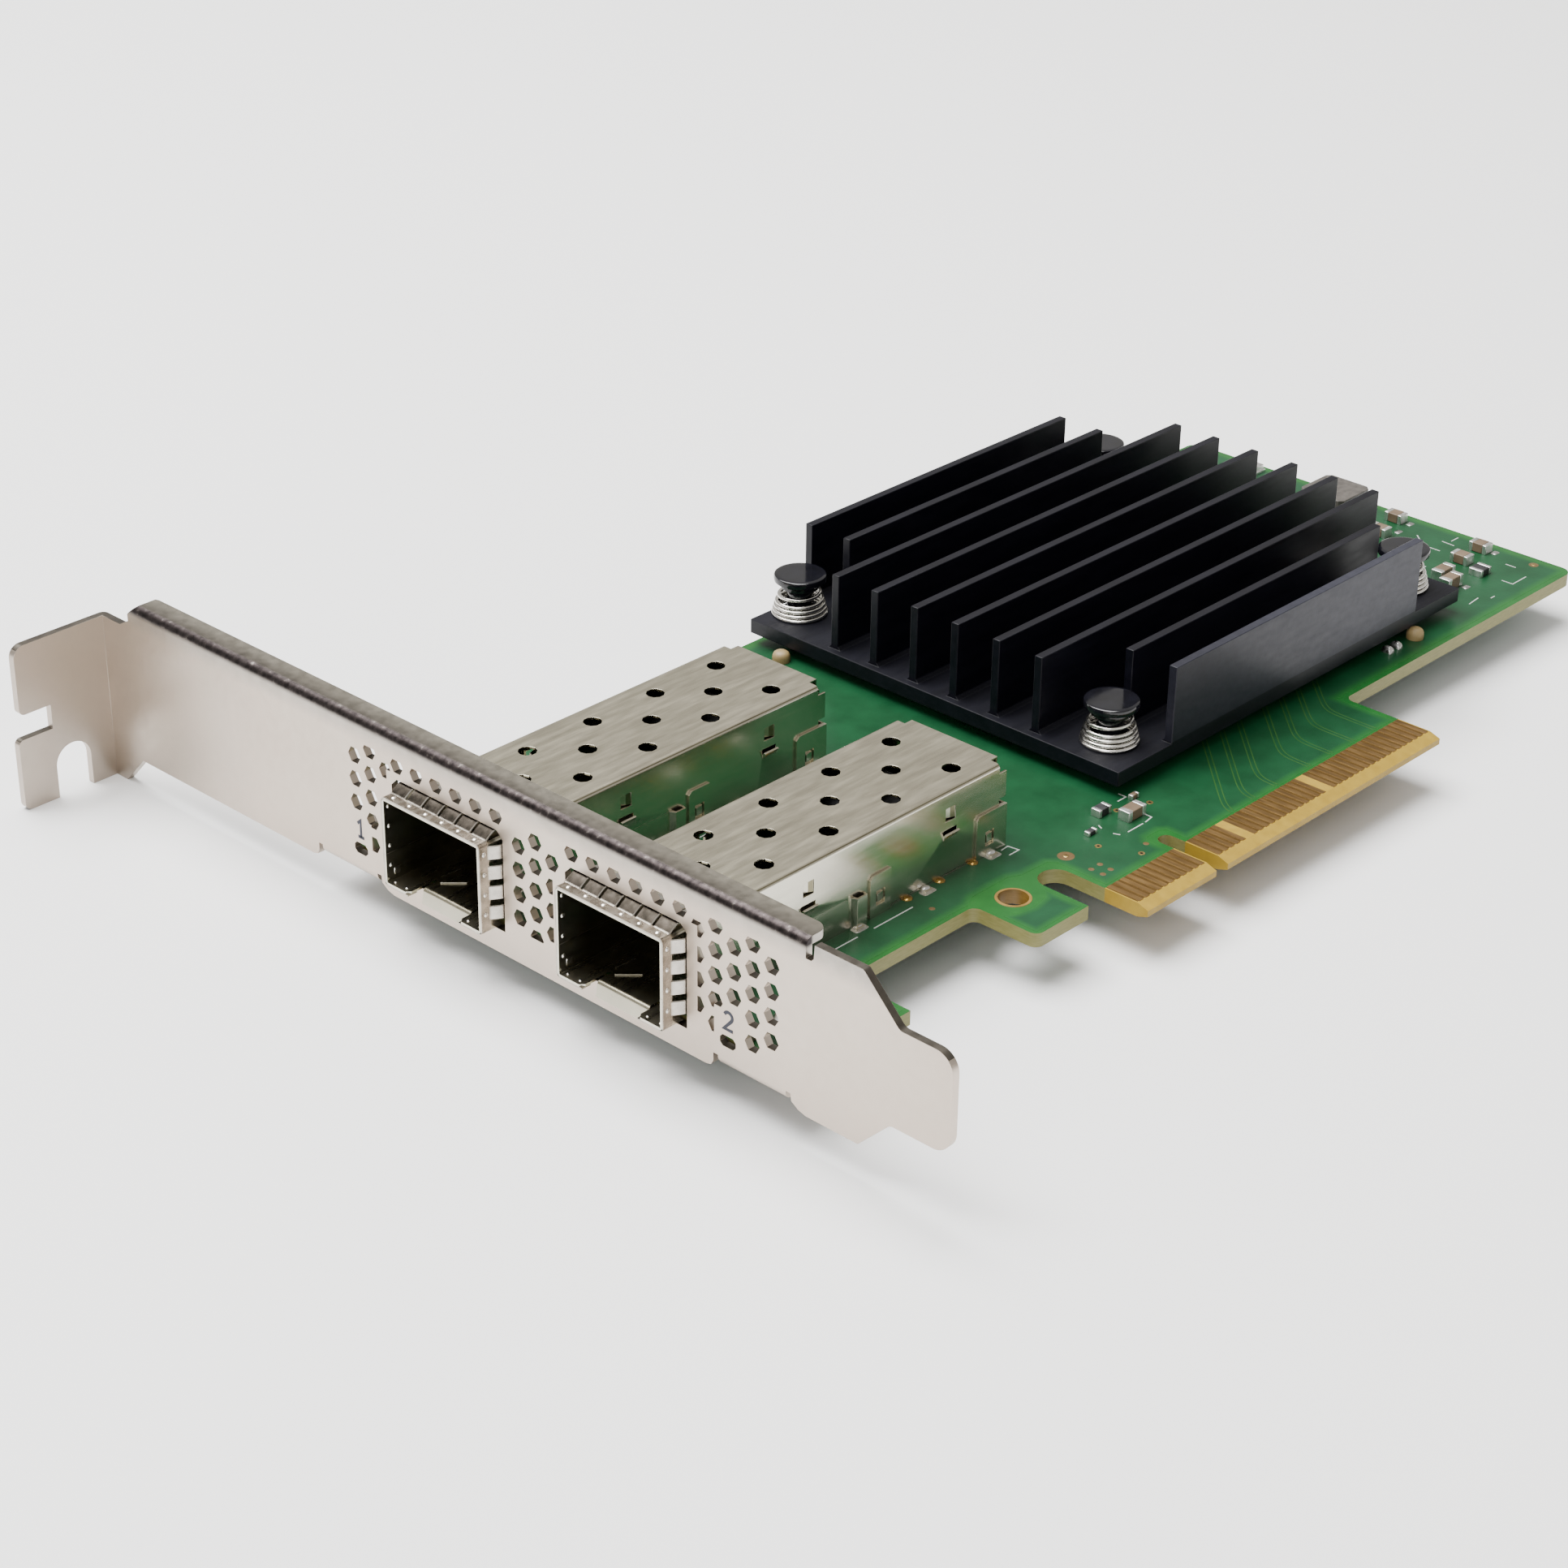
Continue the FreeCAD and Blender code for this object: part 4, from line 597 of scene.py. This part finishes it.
# Solder: silvery lands under the cage's feet, amber flux domes on its pins.
solder = mottled("solder", (0.4, 0.4, 0.4), (0.72, 0.72, 0.7), 900, (0.15, 0.4, 1600), 1.0)
flux = mottled("amber_flux", (0.14, 0.075, 0.02), (0.38, 0.25, 0.07), 1500, 0.2, 1.0)
CAGE_HALF = 7.0
FEET_X = (-34.95, -24.95, -14.95)
FLUX_X = (-27.4, -22.5, -17.45)
walls = [(port, side) for port in PORTS for side in SIDES]
lands = [mound((x, port + side * (CAGE_HALF + 0.65), 0), (1.05, 0.6), 0.07, square=5.0)
         for x in FEET_X for port, side in walls]
lumps = [mound((x + 0.1, port + side * (CAGE_HALF + 0.3), 0.05), (0.65, 0.45), 0.42)
         for x in FEET_X for port, side in walls]
mesh_piece("foot_solder", lands + lumps, solder)
domes = [mound((x, port + side * CAGE_HALF, 0), (0.62, 0.72), 0.3)
         for x in FLUX_X for port, side in walls]
mesh_piece("pin_solder", domes, flux)

# === Spring-finger collars ========================================================================
# A strip of thin spring metal wrapped round each cage's mouth and spot welded, its fingers bowed out
# to press on the bracket's opening. The top ones are painted near black up to their crests, a painted
# reflection of dark surroundings, and their edge chamfers keep a brighter tone as painted highlights.
# A weld dimple by each finger shows inside and outside.
SPRING_SHEET = 0.15
CAGE_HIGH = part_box("cage_cover_1")[1][2] / MM
MOUTH_X, FINGER_TIP_X = (corner[0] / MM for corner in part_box("emi_collar_1"))
LIP_X = MOUTH_X + 1.1                  # where the band ends and the fingers start
CREST_X = LIP_X + 1.15                 # the fingers' crests, within the bracket's thickness
BOW = 0.75
TOP_FINGERS = (-5.88, -3.53, -1.18, 1.18, 3.53, 5.88)
SIDE_FINGERS = (8.6, 6.4, 4.2, 2.0)
TOP_WIDTH, SIDE_WIDTH = 2.05, 1.56
ALONG, UP = (1, 0, 0), (0, 0, 1)
spring_metal, tree, shader = shader_of("spring_sheet", (0.6, 0.57, 0.52), 1.0, 0.24)
mottle = grain(tree, 900, detail=4.0)
band = two_tone(tree, mottle, (0.3, 0.27, 0.23), (0.5, 0.46, 0.4))
side_finger = two_tone(tree, mottle, (0.45, 0.42, 0.37), (0.57, 0.535, 0.48))
# Painted reflection: the top fingers are near black up to their crests.
shaded_rise = two_tone(tree, mottle, (0.015, 0.013, 0.01), (0.045, 0.038, 0.031))
x, y, z = place_of(tree)
top_finger = blended(tree, across(tree, x, CREST_X + 0.2, CREST_X + 0.8), shaded_rise, side_finger)
# Painted highlight: faces leaning along y, the side fingers and the top fingers' edge chamfers, keep
# the brighter tone.
bowed = blended(tree, spread(tree, leaning(tree, "Y"), 0.0, 1.0, 0.1, 0.4), top_finger, side_finger)
tree.links.new(blended(tree, across(tree, x, LIP_X, LIP_X + 0.1), band, bowed),
               shader.inputs["Base Color"])
tree.links.new(spread(tree, grain(tree, 1600), 0.2, 0.36), shader.inputs["Roughness"])


def finger(width, base, up):
    """Strip from the band to a free tip, bowed outwards by the bow times (1 - |t|^1.2), where t runs
    from -1 at the band through 0 at the crest to 1 at the tip."""
    t = np.linspace(-1, 1, 27)[:, None]
    out = BOW * (1 - np.abs(t) ** 1.2)
    along = CREST_X + np.where(t < 0, CREST_X - LIP_X, FINGER_TIP_X - CREST_X) * t
    path = np.asarray(base, float) + along * np.array(ALONG) + out * np.array(up)
    half, edge, shoulder = width / 2, width / 2 - 0.09, SPRING_SHEET - 0.08
    section = [(-half, 0.0), (half, 0.0), (half, shoulder), (edge, SPRING_SHEET),
               (-edge, SPRING_SHEET), (-half, shoulder)]
    return carried(path, section, up)


# The band's path: from the gap in the floor, round the left wall's two corners, and mirrored.
turn = np.linspace(0, np.pi / 2, 6)[:, None]
corner = 0.4 * np.concatenate([1 - np.cos(turn), 1 - np.sin(turn)], axis=1)
low_left = np.array((-CAGE_HALF, 0.0)) + corner[::-1]
upper_left = np.array((-CAGE_HALF, CAGE_HIGH)) + corner * (1, -1)
half_loop = np.vstack([[(-3.7, 0.0)], low_left, upper_left])
loop = np.vstack([half_loop, half_loop[::-1] * (-1, 1)])
band_width = LIP_X - MOUTH_X + 0.08
mouth_band = [(0.0, 0.0), (SPRING_SHEET, 0.0), (SPRING_SHEET, band_width), (0.0, band_width)]
collars = []
for port in PORTS:
    round_mouth = np.column_stack([np.full(len(loop), MOUTH_X), port + loop[:, 0], loop[:, 1]])
    collars.append(carried(round_mouth, mouth_band, ALONG))
    collars += [finger(TOP_WIDTH, (0, port + d, CAGE_HIGH), UP) for d in TOP_FINGERS]
    collars += [finger(SIDE_WIDTH, (0, port + side * CAGE_HALF, z), (0, side, 0))
                for side in SIDES for z in SIDE_FINGERS]
spring_collars = mesh_piece("spring_collars", collars, spring_metal)
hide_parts("emi_collar_1", "emi_collar_2")

# Dimples: six over the mouth, four on the floor, and four on each side wall with their backs
# inside the bay. They are painted as highlights, in a much brighter copy of the tin.
# Painted highlight: a brighter copy of the sheet's tin, on the dimples, the latch lips and the square
# welds.
highlight_tin = mottled("dimple_tin_highlight", (0.7, 0.68, 0.63), (0.86, 0.84, 0.8), 2500, 0.22, 1.0)
WELD_X = MOUTH_X + 0.62
FLOOR_WELDS = (6.2, 4.5, -4.5, -6.2)
WALL_IN = 0.24                         # the dimples' backs stand this far in, on the sheet's inner face
dimples = []
for port in PORTS:
    dimples += [mound((WELD_X, port + d, CAGE_HIGH + 0.13), (0.27, 0.27), 0.14) for d in TOP_FINGERS]
    dimples += [mound((WELD_X, port + d, WALL_IN), (0.2, 0.2), 0.12) for d in FLOOR_WELDS]
    for side in SIDES:
        out_y, in_y = port + side * (CAGE_HALF + 0.13), port + side * (CAGE_HALF - WALL_IN)
        dimples += [mound((WELD_X, out_y, z), (0.27, 0.27), 0.14, (ALONG, UP, (0, side, 0)))
                    for z in SIDE_FINGERS]
        dimples += [mound((WELD_X, in_y, z), (0.24, 0.24), 0.13, (ALONG, UP, (0, -side, 0)))
                    for z in SIDE_FINGERS]
mesh_piece("weld_dimples", dimples, highlight_tin)

# Latch: the tongue in the floor of each bay has a punched slot with a lip painted bright as a
# highlight, and the wall beside it has a small square weld, painted bright as well.
LIPS = ([(-57.7, 2.9), (-55.9, 1.05), (-55.6, 1.0)], [(-56.8, 3.65), (-54.4, 3.45)])
latch = []
for port in PORTS:
    latch += [carried([(x, port + d, 0.28) for x, d in lip], strip(0.16, 0.08)) for lip in LIPS]
    latch.append(mound((-59.9, port + 6.74, 1.15), (0.42, 0.42), 0.08, (ALONG, UP, (0, -1, 0)), 6.0))
mesh_piece("latch_lips", latch, highlight_tin)

# === Module connectors and lights =================================================================
# Black moulded housings with gold contacts at the back of each bay, and side-view light-emitting
# diodes of clear resin just behind the bracket's oval holes.
housing_black = mottled("moulded_nylon", (0.004, 0.004, 0.004), (0.008, 0.008, 0.009), 900,
                        (0.3, 0.5, 1200))
clear_resin = mottled("lamp_resin", (0.12, 0.11, 0.075), (0.2, 0.19, 0.14), 1500, 0.2)
for number in (1, 2):
    eased(f"sfp_connector_{number}", 0.12, housing_black)
    dress(f"sfp_contacts_{number}", contact_gold)
    eased(f"status_led_{number}", 0.08, clear_resin)

# === Heat sink ====================================================================================
# One extrusion of aluminium alloy, milled at its corners for the pins, then anodised satin black.
# The outer fin's face carries painted light, paler towards the rear, and the plate is duller
# than the fins. A silicone pad carries the heat from the chip's epoxy lid.
OUTER_FIN_BEFORE = 17.3                # in y
FINS_ABOVE, PLATE_BELOW = 3.2, 3.5     # in z, both a little above the plate's top
anodised, tree, shader = shader_of("black_anodised", (0.005, 0.005, 0.009), 0.0, 0.36, 0.2)
x, y, z = place_of(tree)
dark = two_tone(tree, grain(tree, 800, (0.2, 1, 1)), (0.0016, 0.0016, 0.004), (0.004, 0.004, 0.0078))
# Painted light: the outer fin's face gets a paler tone, most towards the rear.
painted_fin_light = two_tone(tree, grain(tree, 1200), (0.021, 0.0215, 0.031), (0.029, 0.0295, 0.041))
outer = both(tree, below(tree, y, OUTER_FIN_BEFORE), above(tree, z, FINS_ABOVE))
toward_rear = both(tree, outer, spread(tree, x, 0.45, 1.0, 10 * MM, 45 * MM))
tree.links.new(blended(tree, toward_rear, dark, painted_fin_light), shader.inputs["Base Color"])
satin = spread(tree, grain(tree, 1500, (0.2, 1, 1)), 0.3, 0.42)
on_plate = both(tree, below(tree, z, PLATE_BELOW), leaning(tree, "Z"))
duller = spread(tree, on_plate, 0.0, 0.2, 0.0, 1.0)
tree.links.new(maths(tree, "ADD", satin, duller), shader.inputs["Roughness"])
relief(tree, shader, grain(tree, 4000), 0.000015, 0.3)
eased("heat_sink", 0.12, anodised)
dress("thermal_pad", mottled("pad_silicone", (0.24, 0.26, 0.28), (0.34, 0.36, 0.38), 1200, 0.7))
chip_black = mottled("chip_epoxy", (0.008, 0.008, 0.009), (0.014, 0.014, 0.015), 1800,
                     (0.45, 0.65, 1800))
dress("controller_chip", chip_black)

# === Push pins and springs ========================================================================
# Glossy black moulded pins that snap through the plate and the board, each over a conical spring of
# bright wire: close-wound at its foot, then open up to the collar under the head.
PINS = [np.mean(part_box(f"push_pin_{number}"), axis=0)[:2] / MM for number in (1, 2, 3, 4)]
gloss_black = mottled("gloss_nylon", (0.004, 0.004, 0.0055), (0.006, 0.006, 0.009), 700,
                      (0.08, 0.18, 900))
barb = [(0.5, -4.57), (0.9, -4.5), (1.85, -2.2), (1.85, -1.75), (1.45, -1.6)]
spring_seat = [(1.45, 6.1), (1.6, 6.35), (2.2, 6.4), (2.2, 6.75), (2.15, 6.95)]
head = [(2.35, 7.1), (2.85, 7.12), (2.97, 7.22), (3.0, 7.4), (3.0, 7.78), (2.94, 7.92), (2.8, 7.99),
        (2.5, 8.0), (1.2, 7.98)]
pins = mesh_piece("push_pins", [turned(barb + spring_seat + head, (x, y, 0.0), 64) for x, y in PINS],
                  gloss_black)
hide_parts(*[f"push_pin_{i}" for i in (1, 2, 3, 4)])

# A spring's path: the wire lies flat on the plate for half a turn, winds three close turns, and then
# rises faster as it narrows. Radius and height change in proportion to the turns.
spring_wire = mottled("spring_wire", (0.7, 0.68, 0.63), (0.84, 0.82, 0.78), 900,
                      (0.15, 0.3, 1200), 1.0)
WIRE_R = 0.225
FOOT_R, FOOT_Z = 3.02, 3.05
CLOSE_TURNS = 3.0
FLAT_END = math.radians(-143)          # the bearing at which the flat half turn ends
turns = np.linspace(-0.5, 4.7, 313)
closed = np.clip(turns, 0.0, CLOSE_TURNS)
opened = np.maximum(turns - CLOSE_TURNS, 0.0)
coil_r = FOOT_R - 0.13 * closed - 0.3 * opened
coil_z = FOOT_Z + WIRE_R + 0.5 * closed + 0.82 * opened
around = FLAT_END + 2 * np.pi * turns
coil = np.stack([coil_r * np.cos(around), coil_r * np.sin(around), coil_z], axis=1)
section = np.linspace(0, 2 * np.pi, 16, endpoint=False)
wire = WIRE_R * np.stack([np.cos(section), np.sin(section)], axis=1)
coils = [carried(coil + np.array((x, y, 0.0)), wire) for x, y in PINS]
springs = mesh_piece("pin_springs", coils, spring_wire, sharp=60)
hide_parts(*[f"pin_spring_{i}" for i in (1, 2, 3, 4)])

# === Stops ========================================================================================
# Small tan silicone posts that keep the heat sink from rocking.
STOP_R = 1.0
(low_x, low_y, _), (high_x, high_y, _) = np.round(np.array(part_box("sink_bumpers")) / MM, 3)
stops_at = ((low_x + STOP_R, high_y - STOP_R), (high_x - STOP_R, low_y + STOP_R))
tan_rubber = mottled("tan_rubber", (0.22, 0.155, 0.062), (0.28, 0.205, 0.092), 1000, 0.5)
stop_profile = [(STOP_R, 0.0), (1.02, 0.5), (0.98, 0.8), (0.86, 1.05), (0.62, 1.23), (0.3, 1.31),
                (0.05, 1.33)]
stops = mesh_piece("sink_stops", [turned(stop_profile, (x, y, 0.0)) for x, y in stops_at],
                   tan_rubber)
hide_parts("sink_bumpers")

# === Small parts ==================================================================================
# Surface-mount parts: ceramic blocks with tinned ends, a moulded inductor, an oscillator with a
# metal lid and a memory chip on formed leads. They are soldered to the component face, apart from
# some capacitors on the solder side.
ceramic = mottled("brown_ceramic", (0.1, 0.066, 0.04), (0.16, 0.115, 0.073), 300, 0.45)
tinned = mottled("tinned_ends", (0.6, 0.6, 0.58), (0.8, 0.8, 0.78), 1200, (0.28, 0.5, 1500), 1.0)
ferrite = mottled("moulded_ferrite", (0.05, 0.044, 0.038), (0.09, 0.08, 0.07), 1400, 0.5)
for node, material, slot in (("capacitor_bodies", ceramic, "capacitor_ceramic"),
                             ("bead_bodies", chip_black, "chip_resin"),
                             ("chip_terminals", tinned, "tinned_metal"),
                             ("power_inductor", ferrite, "ferrite"),
                             ("crystal_can", tinned, "tinned_metal"),
                             ("flash_memory", chip_black, "chip_resin"),
                             ("solder_side_capacitors", ceramic, "capacitor_ceramic")):
    eased(node, 0.08, material)
dress("flash_leads", tinned)

# Pads with solder and no part on them, and the two ends of a fuse beside the rear stop.
BARE_PADS = ((70.9, 19.1), (73.4, 19.0), (84.2, 21.9), (84.2, 34.1), (81.25, 33.8), (80.1, 21.1))
spare_pads = [mound((x, y, 0.0), (0.55, 0.4), 0.16, square=5.0) for x, y in BARE_PADS]
fuse_ends = [mound((x, 15.75, 0.0), (0.5, 0.7), 0.8, square=6.0) for x in (52.3, 54.0)]
mesh_piece("spare_pads", spare_pads + fuse_ends, solder)

# === Floor, light and camera ======================================================================
# A plain pale table eight metres square under a large soft source, with a weaker one in front.
floor_z = cad_box[0][2]
table = bpy.data.meshes.new("table")
table.from_pydata([(x, y, floor_z) for x, y in ((-4, -4), (4, -4), (4, 4), (-4, 4))], [],
                  [(0, 1, 2, 3)])
table.materials.append(mottled("pale_table", (0.89, 0.89, 0.89), (0.92, 0.92, 0.92), 2.0, 0.6))
table_top = bpy.data.objects.new("table", table)
bpy.context.scene.collection.objects.link(table_top)

world = bpy.data.worlds.new("soft_room")
world.use_nodes = True
backdrop = world.node_tree.nodes["Background"]
backdrop.inputs["Color"].default_value = (1.0, 0.97, 0.91, 1)
backdrop.inputs["Strength"].default_value = 0.6
bpy.context.scene.world = world


def soft_light(name, place, aim, size, power):
    """Square area light at a place, turned towards a point."""
    lamp = bpy.data.lights.new(name, "AREA")
    lamp.size = size
    lamp.energy = power
    holder = bpy.data.objects.new(name, lamp)
    holder.location = place
    offset = np.asarray(place, float) - np.asarray(aim, float)
    tilt = math.atan2(math.hypot(offset[0], offset[1]), offset[2])
    heading = math.atan2(offset[1], offset[0]) + math.pi / 2
    holder.rotation_euler = (tilt, 0, heading)
    bpy.context.scene.collection.objects.link(holder)


soft_light("overhead", (-0.1, 0.35, 0.9), (0.02, 0.04, 0.0), 0.8, 31.0)
soft_light("front", (-0.9, -0.35, 0.45), (0.0, 0.04, 0.0), 0.6, 4.0)

lens = bpy.data.cameras.new("camera")
lens.lens = 76.08
lens.sensor_width = 36.0
lens.clip_start = 0.01
camera = bpy.data.objects.new("camera", lens)
camera.location = (-0.24180, -0.16496, 0.16461)
camera.rotation_euler = tuple(math.radians(a) for a in (61.648, -0.600, -46.698))
bpy.context.scene.collection.objects.link(camera)
bpy.context.scene.camera = camera
